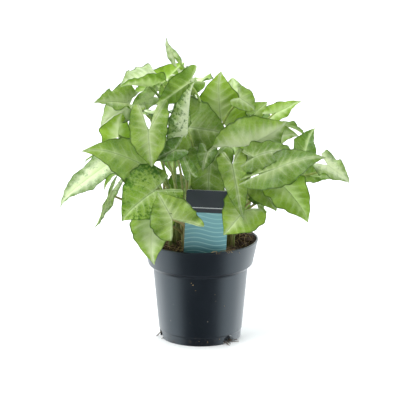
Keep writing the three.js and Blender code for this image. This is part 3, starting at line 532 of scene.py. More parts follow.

# One entry for each leafy stem: where it stands, and its leaves. A leaf's row gives
#   joint (where the stalk meets the blade), tip, way the upper face looks,
#   width, lobes' share of the length, fold, droop (degrees), height of the margin's large waves,
#   tones (how pale it is, how much it is flecked, and -1 for an old dark leaf to 1 for a young bright one;
#   this also paints shade on leaves deep in the plant and light on leaves lit from behind),
# and where it departs from the usual shape, for its left and right half seen from the stalk:
#   folds (degrees), splay (the lobe's tip, in half widths), blunt (0 to 1), and for both halves lift (of the
#   lobes) and twist (degrees).
STEMS = {
    "stem_front_left": ((-30, -13), [
        ((-50, -42, 188), (-116, -74, 219), (0.1, -0.9, 0.42), 56, 0.12, 0, 12, 3.2, (0.15, 0.05, -0.1),
         {"folds": (8, -34), "splay": (0.8, 0.8), "blunt": (0.6, 0.6)}),
        ((-96, -22, 188), (-147, -36, 150), (-0.35, -0.7, 0.65), 34, 0.3, 10, 36, 3.9, (0.88, 0.5, -0.75),
         {"folds": (6, 20), "twist": -12}),
        ((-90, -38, 164), (-106, -50, 127), (0.5, -0.8, 0.3), 13, 0.42, 50, 10, 2, (0.92, 0.5, 0),
         {"splay": (0.9, 0.2), "twist": 40}),
        ((-45, -64, 172), (-80, -80, 145), (-0.1, -1, 0.3), 60, 0.42, 10, 20, 3.9, (0, 1, -0.15),
         {"splay": (0.6, 0.1), "blunt": (0.3, 1)}),
    ]),
    "stem_front": ((-14, -27), [
        ((-28, -84, 147), (-43, -80, 174), (0, -1, 0.4), 46, 0.6, 8, 20, 3.2, (0.3, 0.05, -0.1),
         {"folds": (4, 14), "splay": (0.5, 1.05), "blunt": (0, 0)}),
        ((-47, -54, 141), (-48, -80, 99), (0, -1, 0.35), 46, 0.3, 12, 12, 3.2, (0.65, 0.05, 0.35),
         {"folds": (18, 4)}),
        ((-52, -60, 232), (-48, -64, 195), (0.1, -1, 0.2), 38, 0.75, 12, 15, 3.2, (0.42, 0, 0),
         {"folds": (16, 6), "splay": (1.1, 0.4), "blunt": (1.2, 0.8), "lift": 0.05}),
        ((-25, -56, 212), (-48, -60, 202), (0, -1, 0.6), 24, 0.4, 24, 20, 2, (0, 0.3, -1)),
        ((-10, -62, 189), (-21, -56, 214), (0.2, -1, 0.2), 15, 0.2, 20, 30, 2, (0.15, 0, -0.8),
         {"splay": (0.5, 0.5), "blunt": (1, 1)}),
    ]),
    "stem_left": ((-24, 8), [
        ((-50, -8, 267), (-82, -25, 272), (0, 0.15, 1), 54, 0.25, 24, 15, 3.9, (0.92, 0.1, -0.15),
         {"folds": (40, 66), "lift": 0.3}),
        ((-75, -18, 252), (-106, -38, 258), (0, -0.2, 1), 38, 0.4, 28, 10, 3.9, (0.45, 0.4, 0.1),
         {"folds": (-12, 66), "lift": 0.3}),
        ((-84, -30, 219), (-80, -30, 245), (-0.4, 0.9, 0.2), 36, 0.35, 18, 25, 3.9, (0.85, 0, 1)),
        ((-73, -12, 247), (-103, -22, 227), (-0.2, -0.8, 0.7), 34, 0.35, 12, 30, 3.9, (1, 0.1, 0.8)),
        ((-48, 2, 254), (-72, -4, 245), (0, -0.8, 0.6), 24, 0.35, 14, 20, 2.6, (0.8, 0.3, 0.5)),
    ]),
    "stem_centre": ((-4, -7), [
        ((-13, -46, 226), (-8, -38, 280), (0.1, -1, 0.2), 40, 0.12, 0, 35, 2.6, (0.8, 0.8, 0),
         {"folds": (8, -118), "splay": (0.66, 0.3), "blunt": (1, 0)}),
        ((-11, -10, 272), (-46, -24, 250), (0.1, 1, 0.3), 30, 0.3, 14, 30, 3.2, (0, 0.2, -0.2)),
        ((-13, -18, 227), (30, -20, 220), (-0.5, -0.9, 0.3), 60, 0.45, 8, 30, 3.9, (0.15, 0.2, -0.45),
         {"folds": (-8, 16), "blunt": (1, 1)}),
        ((-26, 0, 294), (-36, -4, 315.5), (0, -1, 0.3), 12, 0.3, 34, 10, 0.7, (1, 0, 0),
         {"twist": 60}),
        ((-42, 10, 264), (-17, 14, 289), (0.2, 1, 0.1), 34, 0.3, 14, 25, 3.2, (0.5, 0.1, 0.9)),
        ((-21, 4, 276), (0, -4, 263), (0.5, -0.8, 0.6), 20, 0.3, 12, 25, 3.2, (1, 0.1, 0)),
    ]),
    "stem_front_centre": ((12, -22), [
        ((10, -41, 197), (10, -43, 141), (0, -1, 0.15), 46, 0.25, 10, 20, 2.6, (0.0, 0.05, -0.5),
         {"folds": (14, -6), "blunt": (1, 1)}),
        ((7, -48, 208), (2, -56, 189), (0, -1, 0.3), 20, 0.3, 16, 20, 1.3, (0.1, 0, -0.9),
         {"blunt": (1, 1)}),
        ((32, -54, 196), (42, -72, 142), (-0.2, -1, 0.1), 28, 0.25, 12, 15, 5, (0.15, 0.05, -0.2),
         {"folds": (-8, 20), "splay": (0.7, 0.6), "blunt": (1.3, 1.3), "twist": 16}),
        ((48, -46, 213), (88, -46, 237), (-0.1, -0.9, 0.4), 60, 0.6, 14, 25, 3.9, (0.6, 0.05, 0),
         {"folds": (12, -60), "splay": (0.6, 0.6), "blunt": (0, 0), "lift": 0.3}),
    ]),
    "stem_front_right": ((30, -18), [
        ((44, -58, 150), (23, -73, 128), (0.1, -1, 0.3), 46, 0.3, 12, 15, 3.2, (0.4, 0, 0.3),
         {"folds": (14, 6), "splay": (0.6, 0.6), "blunt": (1, 1)}),
        ((58, -30, 160), (76, -42, 151), (0, -0.8, 0.8), 26, 0.4, 14, 20, 2.6, (0.05, 0.2, -0.8)),
        ((59, -52, 177), (79, -60, 150), (-0.1, -0.9, 0.6), 32, 0.35, 14, 20, 2.6, (0.2, 0.1, 0.2)),
        ((84, -56, 174), (110, -68, 140), (0.2, -1, 0.3), 42, 0.45, 12, 20, 3.9, (0.42, 0.05, 0.5),
         {"folds": (44, 10), "splay": (0.7, 0.95), "blunt": (0, 0)}),
        ((75, -86, 200), (123, -94, 215), (-0.1, -0.9, 0.5), 42, 0.92, -10, 15, 3.9, (0.25, 0.05, -0.6),
         {"folds": (-46, 4), "splay": (0.12, 0.1), "blunt": (0, 0), "lift": -0.08}),
        ((53, -64, 206), (96, -72, 213), (0, -0.8, 0.7), 34, 0.35, -14, 40, 2.6, (0.15, 0.1, -0.5),
         {"splay": (0.8, 0.3)}),
    ]),
    "stem_right": ((30, 7), [
        ((128, -46, 194), (152, -52, 177), (0.1, -0.9, 0.6), 24, 0.4, 12, 40, 3.9, (0.85, 0.3, -0.15)),
        ((102, -36, 180), (135, -30, 175), (0, -0.8, 0.8), 22, 0.3, 16, 20, 2.6, (0.1, 0.2, -0.5)),
        ((106, -20, 201), (115, -10, 225), (-0.2, 0.9, 0.3), 28, 0.4, 16, 20, 3.9, (0.1, 0.1, -0.75),
         {"splay": (0.7, 0.3)}),
        ((75, -6, 238), (101, -14, 255), (0, -1, 0.6), 20, 0.35, 20, 10, 3.2, (0.55, 0, 0.45)),
        ((72, 6, 196), (118, 8, 166), (0.8, -0.1, 0.6), 52, 0.3, 10, 30, 3.5, (0.4, 0.3, 0)),
        ((54, 20, 151), (66, 30, 114), (1, 0.4, 0.4), 36, 0.3, 12, 20, 3.9, (0.5, 0.1, 0)),
        ((62, 0, 210), (101, -6, 218), (0, -0.8, 0.6), 34, 0.35, 12, 30, 3.9, (0.7, 0.1, 0)),
        ((66, 22, 222), (112, 36, 206), (0.5, 0.3, 0.8), 48, 0.25, 12, 35, 3.5, (0.85, 0.2, 0)),
    ]),
    "stem_back_centre": ((10, 12), [
        ((21, 10, 227), (19, 18, 278), (0, -1, 0.3), 56, 0.3, 10, 20, 3.9, (0.45, 0, 1),
         {"folds": (20, -8), "blunt": (1, 1), "twist": 20}),
        ((33, 24, 251), (33, 32, 269), (0, -1, 0.3), 24, 0.35, 16, 20, 2.6, (0.8, 0, 0)),
        ((40, 2, 253), (58, 6, 239), (0, -0.8, 0.6), 26, 0.3, 16, 25, 2.6, (0.5, 0.1, 0)),
        ((54, 20, 231), (70, 24, 244), (0, -0.9, 0.6), 22, 0.3, 24, 10, 2.6, (0.4, 0, 0)),
        ((32, 34, 251), (51, 64, 248), (0.4, 0.4, 0.9), 30, 0.3, 14, 30, 3.9, (0.7, 0.2, 0.5)),
    ]),
    "stem_back_right": ((15, 33), [
        ((38, 44, 226), (75, 86, 206), (0.5, 0.6, 0.8), 52, 0.25, 10, 35, 3.5, (0.4, 0.3, 0)),
        ((8, 56, 238), (14, 108, 222), (0.1, 0.7, 0.8), 54, 0.3, 12, 35, 3.5, (0.8, 0.2, 0)),
        ((58, 42, 182), (98, 70, 148), (0.7, 0.5, 0.6), 54, 0.3, 10, 30, 3.5, (0.3, 0.1, 0)),
        ((26, 66, 196), (44, 112, 162), (0.3, 0.9, 0.6), 56, 0.3, 10, 30, 3.5, (0.5, 0.5, 0)),
        ((32, 54, 138), (46, 80, 98), (0.5, 0.9, 0.4), 44, 0.3, 12, 20, 3.9, (0.2, 0.1, 0)),
    ]),
    "stem_back_left": ((-10, 32), [
        ((-24, 52, 226), (-54, 98, 208), (-0.4, 0.7, 0.8), 50, 0.3, 10, 35, 3.5, (0, 0.2, -0.9)),
        ((-18, 68, 184), (-32, 112, 148), (-0.2, 0.9, 0.6), 56, 0.3, 10, 30, 3.5, (0, 0.3, -0.7)),
        ((-4, 40, 260), (7, 70, 260), (0, 0.6, 0.9), 36, 0.3, 16, 25, 3.9, (0.6, 0.1, 0)),
        ((-37, 34, 256), (-72, 54, 246), (-0.3, 0.6, 0.9), 42, 0.3, 14, 35, 3.9, (1, 0.1, 0)),
        ((-10, 60, 148), (-16, 86, 106), (-0.1, 1, 0.4), 46, 0.3, 12, 20, 3.9, (0.3, 0.1, -0.8)),
    ]),
    "stem_far_left": ((-33, 25), [
        ((-55, 24, 232), (-104, 44, 216), (-0.6, 0.3, 0.8), 40, 0.3, 12, 35, 3.5, (0.7, 0.2, 0)),
        ((-63, 46, 183), (-106, 62, 143), (-0.6, 0.6, 0.6), 34, 0.3, 10, 30, 3.5, (0.3, 0.4, 0)),
        ((-75, 8, 195), (-122, 14, 185), (-0.8, 0.2, 0.6), 34, 0.3, 10, 30, 3.5, (0, 0.1, 0.9)),
        ((-48, 40, 138), (-68, 58, 98), (-0.8, 0.8, 0.4), 44, 0.3, 12, 20, 3.9, (0.2, 0.1, 0)),
        ((-56, 8, 148), (-69, 10, 113), (-1, 0.1, 0.4), 34, 0.3, 12, 20, 3.9, (0.5, 0.2, 0)),
    ]),
}


def draw(seed):
    """A repeatable number from 0 to 1 for each seed."""
    value = math.sin(seed * 12.9898 + 4.1414) * 43758.5453
    return value - math.floor(value)


def bezier(points, t):
    """Points of a cubic Bezier curve at the values t."""
    a, b, c, d = (np.array(p, dtype=float) for p in points)
    t = np.asarray(t, dtype=float)[:, None]
    return a * (1 - t) ** 3 + b * 3 * t * (1 - t) ** 2 + c * 3 * t ** 2 * (1 - t) + d * t ** 3


def bell(x, reach):
    """1 where x is 0, falling to almost nothing at twice the reach."""
    return np.exp(-(x / reach) ** 2)


class Leaf:
    """One leaf: its place, size and bends, read from its row."""

    def __init__(self, row, seed):
        joint, tip, face, self.width, lobe_share, fold, droop, self.wave, tones = row[:9]
        shape = row[9] if len(row) > 9 else {}
        self.pale, self.flecks, self.youth_and_painted_light = tones
        self.base = np.array(joint, dtype=float)
        along = np.array(tip, dtype=float) - self.base
        half = math.radians(droop) / 2
        reach = np.linalg.norm(along)
        self.length = reach * half / math.sin(half)
        along /= reach
        up = np.array(face, dtype=float)
        up -= along * up.dot(along)
        up /= np.linalg.norm(up)
        self.across = np.cross(along, up)
        self.start = along * math.cos(half) + up * math.sin(half)
        self.normal = np.cross(self.across, self.start)
        self.lobe = lobe_share * self.length
        self.folds = [math.radians(angle) for angle in shape.get("folds", (fold, fold))]
        self.droop, self.twist = math.radians(droop), math.radians(shape.get("twist", 0))
        self.splay = shape.get("splay", SPLAY)
        self.blunt, self.lift = shape.get("blunt", BLUNT), shape.get("lift", LIFT)
        self.waves = WAVES_LEAST + WAVES_MORE * draw(seed + 0.5)
        self.phase = 2 * math.pi * draw(seed)
        self.seed, self.ripple = draw(seed + 0.25), RIPPLE_LEAST + RIPPLE_MORE * draw(seed + 0.75)
        self.pitch = max(VEIN_LEAST, VEIN_SHARE * self.length)
        self.bow = MIDRIB_BOW * (2 * draw(seed + 0.35) - 1)
        self.hook = TIP_HOOK * (2 * draw(seed + 0.65) - 1)

    def rows(self, side):
        """One half's points on the sinus and then the midrib, and on the margin. side is -1 or 1."""
        half = 0 if side < 0 else 1
        splay, blunt = self.splay[half], self.blunt[half]

        def on_lobe(across, share):
            return (side * across * self.width / 2, -share * self.lobe)

        def on_body(across, share):
            return (side * across * self.width / 2, share * self.length)

        lobe_tip, widest = on_lobe(splay, 1), on_body(1, WIDEST)
        near_tip = on_lobe((TIP_PULL[0] + TIP_BLUNTED[0] * blunt) * splay,
                           TIP_PULL[1] + TIP_BLUNTED[1] * blunt)
        corner = on_lobe(CORNER_SPLAY * splay + CORNER_PULL[0] + CORNER_BLUNTED[0] * blunt,
                         CORNER_PULL[1] + CORNER_BLUNTED[1] * blunt)
        near_stalk = on_lobe(SINUS_PULL[0] * splay, SINUS_PULL[1])
        lobe_t = np.linspace(0, 1, LOBE_ROWS + 1)
        body_t = np.linspace(0, 1, BODY_ROWS + 1)[1:]
        sinus = bezier((lobe_tip, near_tip, near_stalk, (0, 0)), lobe_t)
        shoulder = bezier((lobe_tip, corner, on_lobe(*SHOULDER_PULL), widest), lobe_t)
        flank = bezier((widest, on_body(*FLANK_PULL), on_body(*POINT_PULL), on_body(0, 1)), body_t)
        midrib = np.stack([np.zeros_like(body_t), body_t * self.length], axis=1)
        margin = np.concatenate([shoulder, flank])
        turn = 2 * math.pi * margin[:, 1] / EDGE_PITCH + 7 * self.phase + 2 * side
        wobble = 0.6 * np.sin(turn) + 0.4 * np.sin(1.7 * turn)
        margin[:, 0] *= 1 + EDGE_WOBBLE * wobble * np.clip(np.arange(len(margin)) / WOBBLE_EASE, 0, 1)
        return np.concatenate([sinus, midrib]), margin

    def vein_phase(self, x, y):
        """Counts the side veins, which leave the midrib forwards and curve towards the tip."""
        out = np.abs(x)
        return (y - VEIN_LEAN * out - VEIN_CURVE * out ** 2 / self.width) / self.pitch + VEIN_FIRST

    def lobe_phase(self, x, y):
        """Counts the side veins of a lobe, which leave the lobe's rib towards its tip."""
        along, beside = self.beside_lobe_rib(x, y)
        return (along - LOBE_VEIN_LEAN * np.abs(beside)) / self.pitch + LOBE_VEIN_FIRST

    def beside_lobe_rib(self, x, y):
        """Distances along a lobe's rib and beside it. It runs straight from the stalk to the lobe's tip."""
        spread = np.where(x < 0, *self.splay) * self.width / 2
        reach = np.hypot(spread, self.lobe)
        across, back = spread / reach, self.lobe / reach
        return np.abs(x) * across - y * back, np.abs(x) * back + y * across

    def bend(self, x, y):
        """Bends the flat blade and puts it in its place."""
        side = np.where(x < 0, -1.0, 1.0)
        out = np.abs(x)
        reach = out / (self.width / 2)
        # The fold along the midrib, the large waves and the ripples of the margin, and the lobes' rise.
        swing = 2 * math.pi * self.waves * y / self.length + self.phase + SIDE_SHIFT * side
        ripple = 2 * math.pi * y / RIPPLE_LENGTH + 5 * self.phase + side
        fold = np.where(x < 0, *self.folds) * (1 - FOLD_EASE * reach)
        up = out * np.sin(fold) + self.wave * reach ** 2 * np.sin(swing)
        up += self.lift * np.minimum(y, 0) ** 2 / self.lobe
        up += RIPPLE_HEIGHT * self.ripple * reach ** 3 * np.sin(ripple)
        # The quilting between the side veins, away from the midrib, the stalk and the margin.
        quilt = np.clip(reach * QUILT_RISE, 0, 1) * np.clip(QUILT_EDGE - reach, 0, 1)
        veins = np.where(y > 0, self.vein_phase(x, y), self.lobe_phase(x, y))
        up -= QUILT * quilt * np.clip(np.abs(y) / QUILT_STALK, 0, 1) * np.cos(2 * math.pi * veins)
        up -= GROOVE_DEPTH * bell(out, GROOVE_REACH)
        # The midrib bows to one side, and the last part of the blade hooks sideways and curls down.
        share = np.clip(y / self.length, 0, 1)
        last = np.clip(share / HOOKED - HOOK_START, 0, 1) ** 2
        sideways = self.length * (4 * self.bow * share * (1 - share) + self.hook * last)
        up -= TIP_CURL * self.length * last
        local_x = side * out * np.cos(fold) + sideways
        twist = self.twist * y / self.length
        local_x, up = (local_x * np.cos(twist) - up * np.sin(twist),
                       local_x * np.sin(twist) + up * np.cos(twist))
        # The droop rolls the length round an arc.
        bend = self.droop / self.length
        turn = bend * y
        local_y = np.sin(turn) / bend + up * np.sin(turn)
        local_z = (np.cos(turn) - 1) / bend + up * np.cos(turn)
        return (self.base + np.outer(local_x, self.across) + np.outer(local_y, self.start)
                + np.outer(local_z, self.normal))

    def blade(self):
        """Vertices, faces, face materials (0 above, 1 below) and the vertices' values for the materials."""
        share = np.linspace(0, 1, HALF_COLUMNS + 1) ** COLUMN_EASE
        halves = []
        for side in (-1, 1):
            inner, outer = self.rows(side)
            halves.append(inner[:, None, :] + (outer - inner)[:, None, :] * share[None, :, None])
        flat = np.concatenate([halves[0][:, ::-1], halves[1]], axis=1)
        edge = np.concatenate([share[::-1], share])
        rows, columns = flat.shape[:2]
        flat = flat.reshape(-1, 2)
        edge = np.tile(edge, rows)
        _, first, index = np.unique(np.round(flat, 3) + 0.0, axis=0, return_index=True, return_inverse=True)
        index = index.reshape(rows, columns)
        x, y = flat[first].T
        edge = edge[first]
        upper = []
        for i in range(rows - 1):
            for j in range(columns - 1):
                if j == HALF_COLUMNS:
                    continue            # the two halves only meet along the midrib
                ring = [index[i, j], index[i, j + 1], index[i + 1, j + 1], index[i + 1, j]]
                face = [int(v) for k, v in enumerate(ring) if v != ring[k - 1]]
                if len(set(face)) == len(face) > 2:
                    upper.append(face)
        step = 0.4                      # millimetres to each side, for the slope of the bent blade
        normal = np.cross(self.bend(x + step, y) - self.bend(x - step, y),
                          self.bend(x, y + step) - self.bend(x, y - step))
        normal /= np.linalg.norm(normal, axis=1)[:, None]
        middle = self.bend(x, y)
        thick = BLADE_THICKNESS / 2 * (1 - EDGE_THINNER * edge)
        along = np.clip(y / self.length, 0, 1)
        rib = RIB_DEPTH * bell(x, RIB_REACH) * (1 - RIB_TAPER * along) * (y > -1)
        points = np.concatenate([middle + normal * thick[:, None], middle - normal * (thick + rib)[:, None]])
        count = len(x)
        edges = {(a, b) for face in upper for a, b in zip(face, face[1:] + face[:1])}
        rim = [(b, a, a + count, b + count) for a, b in sorted(edges) if (b, a) not in edges]
        lower = [[v + count for v in reversed(face)] for face in upper]
        kinds = [0] * len(upper) + [1] * len(lower) + [0] * len(rim)
        # Distances from the midrib and from the lobe's rib, and the share of the way to the margin; the two
        # counts of the side veins, and the distance from the stalk.
        lobe_rib = self.beside_lobe_rib(x, y)[1] + np.maximum(y, 0)
        ribs = np.stack([x + np.where(x < 0, 1, -1) * np.minimum(y, 0), lobe_rib, edge], axis=1)
        veins = np.stack([self.vein_phase(x, y), self.lobe_phase(x, y), y], axis=1)
        # The leaf's age value also paints light and shade over the whole leaf.
        tones, age = (self.pale, self.flecks, self.seed), (self.youth_and_painted_light, -self.youth_and_painted_light, 0)
        by_vertex = [np.tile(each, (2, 1)) for each in (ribs, veins)]
        by_leaf = [np.tile(each, (2 * count, 1)) for each in (tones, age)]
        return points, upper + lower + rim, kinds, dict(zip(LEAF_VALUES, by_vertex + by_leaf))


def stalk(leaf, foot, angle):
    """A stalk leaves the stem upright, arches out and runs into the midrib. Its foot is a wider sheath."""
    end = leaf.base + leaf.start * STALK_SUNK - leaf.normal * STALK_DROP
    x, y = foot[0] + STALK_RING * math.cos(angle), foot[1] + STALK_RING * math.sin(angle)
    start = np.array((x, y, SOIL_LEVEL))
    outward = (end - start) * (1, 1, 0)
    outward /= np.linalg.norm(outward)
    reach = np.linalg.norm(end - start)
    up = np.array((0, 0, 1))
    leaving = start + outward * BOW_OUT * reach + up * BOW_RISE * reach
    arriving = end - outward * BOW_IN * reach - up * BOW_DIP * reach
    t = np.linspace(0, 1, STALK_STEPS + 1)
    path = bezier((start, leaving, arriving, end), t)
    radii = STALK_FOOT + (STALK_JOINT - STALK_FOOT) * np.sqrt(t)
    radii += SHEATH * np.clip(1 - t / SHEATH_SHARE, 0, 1) ** 1.5
    radii += KNEE * bell(t - KNEE_PLACE, KNEE_REACH)
    radii[-1] = STALK_END
    vertices, faces = tube(path, radii, STALK_SIDES)
    tones = np.tile((draw(leaf.seed * 97), 0, 0), (len(vertices), 1))
    return vertices, faces, [2] * len(faces), {"tones": tones}


def stem_base(foot):
    """The short stem: ringed by the scars of old leaf bases, and rounded where the stalks leave it."""
    profile = [(0, SOIL_LEVEL - STEM_DEPTH), (STEM_RADIUS - 0.4, SOIL_LEVEL - STEM_DEPTH)]
    profile += [(STEM_RADIUS - 0.5 + SCAR_RELIEF * math.sin(SCAR_TURN * z), SOIL_LEVEL + SCARS_FROM + z)
                for z in np.linspace(0, SCARS_HIGH, SCAR_ROWS)]
    profile += [(r, SOIL_LEVEL + z) for r, z in STEM_CROWN]
    vertices, faces = revolve(profile, STEM_SIDES)
    vertices = [(x + foot[0], y + foot[1], z) for x, y, z in vertices]
    return vertices, faces, [2] * len(faces), {"tones": np.tile((0.9, 0, 0), (len(vertices), 1))}


def ring_angles(leaves, foot):
    """Each leaf's place on the ring round the stem, in the order in which the leaves lie round it."""
    middle = sum(leaf.base for leaf in leaves) / len(leaves)
    centre = math.atan2(middle[1] - foot[1], middle[0] - foot[0])

    def offset(leaf):
        a = math.atan2(leaf.base[1] - foot[1], leaf.base[0] - foot[0]) - centre
        return math.atan2(math.sin(a), math.cos(a))

    order = sorted(leaves, key=offset)
    pitch = 2 * math.pi / len(leaves)
    return [centre + (order.index(leaf) - (len(leaves) - 1) / 2) * pitch for leaf in leaves]


SOFT_EDGED = {"interpolation_type": "SMOOTHSTEP"}


def blade_face(tree, deep, light, soft_pale, cream, rib_tint, glow, spread_share, vein_height):
    """A leaf's skin: waxy satin over soft green tissue that lets some light through. deep and light are its
    greens, soft_pale and cream its pale tissue on a greener and on a paler leaf, and glow tints the light."""
    place = add(tree, "TexCoord", out="Object")
    ribs, veins, tones, age = (
        add(tree, "SeparateXYZ", [add(tree, "Attribute", out="Vector", attribute_name=name)]).node.outputs
        for name in LEAF_VALUES)

    # Ribs: the midrib, and on each lobe the rib that runs to the lobe's tip, about 1 mm wide.
    from_midrib = add(tree, "Math", [ribs["X"]], "ABSOLUTE")
    from_lobe = add(tree, "Math", [ribs["Y"]], "ABSOLUTE")
    nearest = add(tree, "Math", [from_midrib, from_lobe], "MINIMUM")
    rib = add(tree, "MapRange", [nearest, 0.2, 0.8, 1, 0], **SOFT_EDGED)

    # Side veins, from the count that each vertex carries, waved a little by noise: under 1 mm wide. A lobe
    # has its own. They fade towards the margin.
    drift = add(tree, "TexNoise", {"Vector": place, "Scale": per_metre(14.3), "Detail": 2})
    on_lobe = add(tree, "MapRange", [veins["Z"], -0.5, 0.5, 1, 0])
    counted = add(tree, "Mix", {0: on_lobe, 2: veins["X"], 3: veins["Y"]})
    shifted = add(tree, "Math", [drift, 0.7, counted], "MULTIPLY_ADD")
    apart = add(tree, "Math", [shifted, 0.5], "PINGPONG")
    line = add(tree, "MapRange", [apart, 0.01, 0.075, 1, 0], **SOFT_EDGED)
    inside = add(tree, "MapRange", [ribs["Z"], 0.5, 0.95, 1, 0])
    side_vein = add(tree, "Math", [line, inside], "MULTIPLY")
    all_veins = add(tree, "Math", [rib, side_vein], "MAXIMUM")

    # A net of fine veins with meshes of about 3.5 mm joins the side veins.
    meshes = add(tree, "TexVoronoi", {"Vector": place, "Scale": per_metre(3.57)}, feature="DISTANCE_TO_EDGE")
    net = add(tree, "MapRange", [meshes, 0.0, 0.16, 1, 0])

    # Green tissue in two depths, by noise of about 15 mm, with painted shade halfway between two side veins.
    patch = add(tree, "TexNoise", {"Vector": place, "Scale": per_metre(15.4), "Detail": 4, "Roughness": 0.6})
    shaded_between_veins = add(tree, "Math", [apart, -0.16, patch], "MULTIPLY_ADD")
    depth = add(tree, "MapRange", [shaded_between_veins, 0.3, 0.6])
    medium = add(tree, "Mix", {0: depth, 6: deep, 7: light}, **MIX_COLOURS)

    # A young leaf is a clear yellow green all over, an old one a dark green. The same values paint light on
    # leaves lit from behind and shade on leaves deep inside the plant.
    youth_and_light_share = add(tree, "Math", [age["X"], 0.8], "MULTIPLY", use_clamp=True)
    brightened = add(tree, "Mix", {0: youth_and_light_share, 6: medium, 7: "#a4c540"}, **MIX_COLOURS)
    age_and_shade_share = add(tree, "Math", [age["Y"], 0.85], "MULTIPLY", use_clamp=True)
    green = add(tree, "Mix", {0: age_and_shade_share, 6: brightened, 7: "#3f6a14"}, **MIX_COLOURS)

    # Pale tissue spreads from the ribs: the paler the leaf, the further towards the margin. It reaches
    # further along the side veins, and its edge is feathered.
    inwards = add(tree, "MapRange", [ribs["Z"], 0, 0.9, 1, 0], **SOFT_EDGED)
    halo = add(tree, "MapRange", [apart, 0.0, 0.4, 0.06, -0.16])
    uneven = add(tree, "TexNoise", {
        "Vector": place, "Scale": per_metre(16.7), "Detail": 6, "Roughness": 0.65})
    feather = add(tree, "Math", [uneven, 1.2, halo], "MULTIPLY_ADD")
    spread = add(tree, "Math", [inwards, feather], "ADD")
    pull = add(tree, "Math", [tones["X"], spread_share, spread], "MULTIPLY_ADD")
    pale = add(tree, "MapRange", [pull, 1.1, 2.3], **SOFT_EDGED)
    blanched = add(tree, "MapRange", [tones["X"], 0.4, 0.85])
    tissue = add(tree, "Mix", {0: blanched, 6: soft_pale, 7: cream}, **MIX_COLOURS)
    paled = add(tree, "Mix", {0: pale, 6: green, 7: tissue}, **MIX_COLOURS)

    # The net, the side veins and a band about 4 mm wide along each rib are lighter than the tissue. The ribs'
    # tint shows least on a pale leaf: above it is painted shade in the midrib's groove, below the ribs' pale
    # colour.
    netted = add(tree, "Math", [net, 0.1], "MULTIPLY")
    beside_rib = add(tree, "MapRange", [nearest, 0.6, 2.2, 0.3, 0])
    flank = add(tree, "Math", [side_vein, 0.17, beside_rib], "MULTIPLY_ADD")
    soft = add(tree, "Math", [flank, netted], "ADD")
    laced = add(tree, "Mix", {0: soft, 6: paled, 7: cream}, **MIX_COLOURS)
    tinted = add(tree, "MapRange", [tones["X"], 0.1, 0.6, 0.6, 0.12])
    ribbed = add(tree, "Math", [rib, tinted], "MULTIPLY")
    veined = add(tree, "Mix", {0: ribbed, 6: laced, 7: rib_tint}, **MIX_COLOURS)

    # Dark flecks of about 1.5 mm on some leaves, in clumps and thicker towards the margin, and a thin dark
    # line along the edge.
    speck = add(tree, "TexNoise", {"Vector": place, "Scale": per_metre(2.63), "Detail": 3, "Roughness": 0.6})
    outwards = add(tree, "Math", [ribs["Z"], 0.2, -0.1], "MULTIPLY_ADD")
    clump = add(tree, "Math", [uneven, 0.45, outwards], "MULTIPLY_ADD")
    thicker = add(tree, "Math", [speck, clump], "ADD")
    sharp = add(tree, "MapRange", [thicker, 0.75, 0.88])
    flecks = add(tree, "Math", [sharp, tones["Y"]], "MULTIPLY")
    flecked = add(tree, "Mix", {0: flecks, 6: veined, 7: "#41701d"}, **MIX_COLOURS)
    margin = add(tree, "MapRange", [ribs["Z"], 0.92, 0.98, 0, 0.9])
    colour = add(tree, "Mix", {0: margin, 6: flecked, 7: "#2f4f16"}, **MIX_COLOURS)

    # Each leaf is a little lighter or darker than the next.
    shade = add(tree, "MapRange", [tones["Z"], 0, 1, 0.82, 1.1])
    final = add(tree, "HueSaturation", {"Value": shade, "Color": colour})

    # The veins stand out or lie in furrows on a fine grain, which is drawn as coarse as it needs to show.
    # Light that comes through is yellow green, and whiter where the tissue is pale.
    fine = add(tree, "TexNoise", {"Vector": place, "Scale": per_metre(0.909), "Detail": 2})
    relief = add(tree, "Math", [all_veins, vein_height], "MULTIPLY")
    height = add(tree, "Math", [fine, 0.12, relief], "MULTIPLY_ADD")
    bump = add(tree, "Bump", {"Strength": 0.5, "Distance": 0.0006, "Height": height}, out="Normal")
    rough = add(tree, "MapRange", [patch, 0.3, 0.7, 0.36, 0.5])
    skin = add(tree, "BsdfPrincipled", {"Base Color": final, "Roughness": rough, "Normal": bump, "IOR": 1.42})
    glowing = add(tree, "MapRange", [pale, 0, 1, 0.55, 0.1])
    lit = add(tree, "Mix", {0: glowing, 6: final, 7: glow}, **MIX_COLOURS)
    through = add(tree, "BsdfTranslucent", {"Color": lit, "Normal": bump})
    return add(tree, "MixShader", [0.42, skin, through])


def stalk_skin(tree):
    """A leaf stalk: smooth and green, flushed pinkish brown on some and near the foot."""
    place = add(tree, "TexCoord", out="Object")
    tones = add(tree, "SeparateXYZ", [add(tree, "Attribute", out="Vector", attribute_name="tones")])
    height = add(tree, "SeparateXYZ", [place], out="Z")
    low = add(tree, "MapRange", [height, 0.1, 0.27, 1, 0])
    streak = add(tree, "TexNoise", {"Vector": place, "Scale": per_metre(5.56), "Detail": 3})
    flush = add(tree, "Math", [low, tones], "MULTIPLY")
    uneven = add(tree, "Math", [flush, streak], "MULTIPLY")
    amount = add(tree, "Math", [uneven, 1.9], "MULTIPLY", use_clamp=True)
    green = add(tree, "ValToRGB", [streak], stops=[(0.3, "#67893a"), (0.7, "#a0b55e")])
    colour = add(tree, "Mix", {0: amount, 6: green, 7: "#8c6a48"}, **MIX_COLOURS)
    # Old sheaths round the foot have dried to a dull olive brown.
    dry = add(tree, "MapRange", [height, 0.104, 0.145, 0.7, 0])
    dried = add(tree, "Mix", {0: dry, 6: colour, 7: "#4c4828"}, **MIX_COLOURS)
    bump = add(tree, "Bump", {"Strength": 0.2, "Distance": 0.0003, "Height": streak}, out="Normal")
    return add(tree, "BsdfPrincipled", {"Base Color": dried, "Roughness": 0.42, "Normal": bump, "IOR": 1.42})


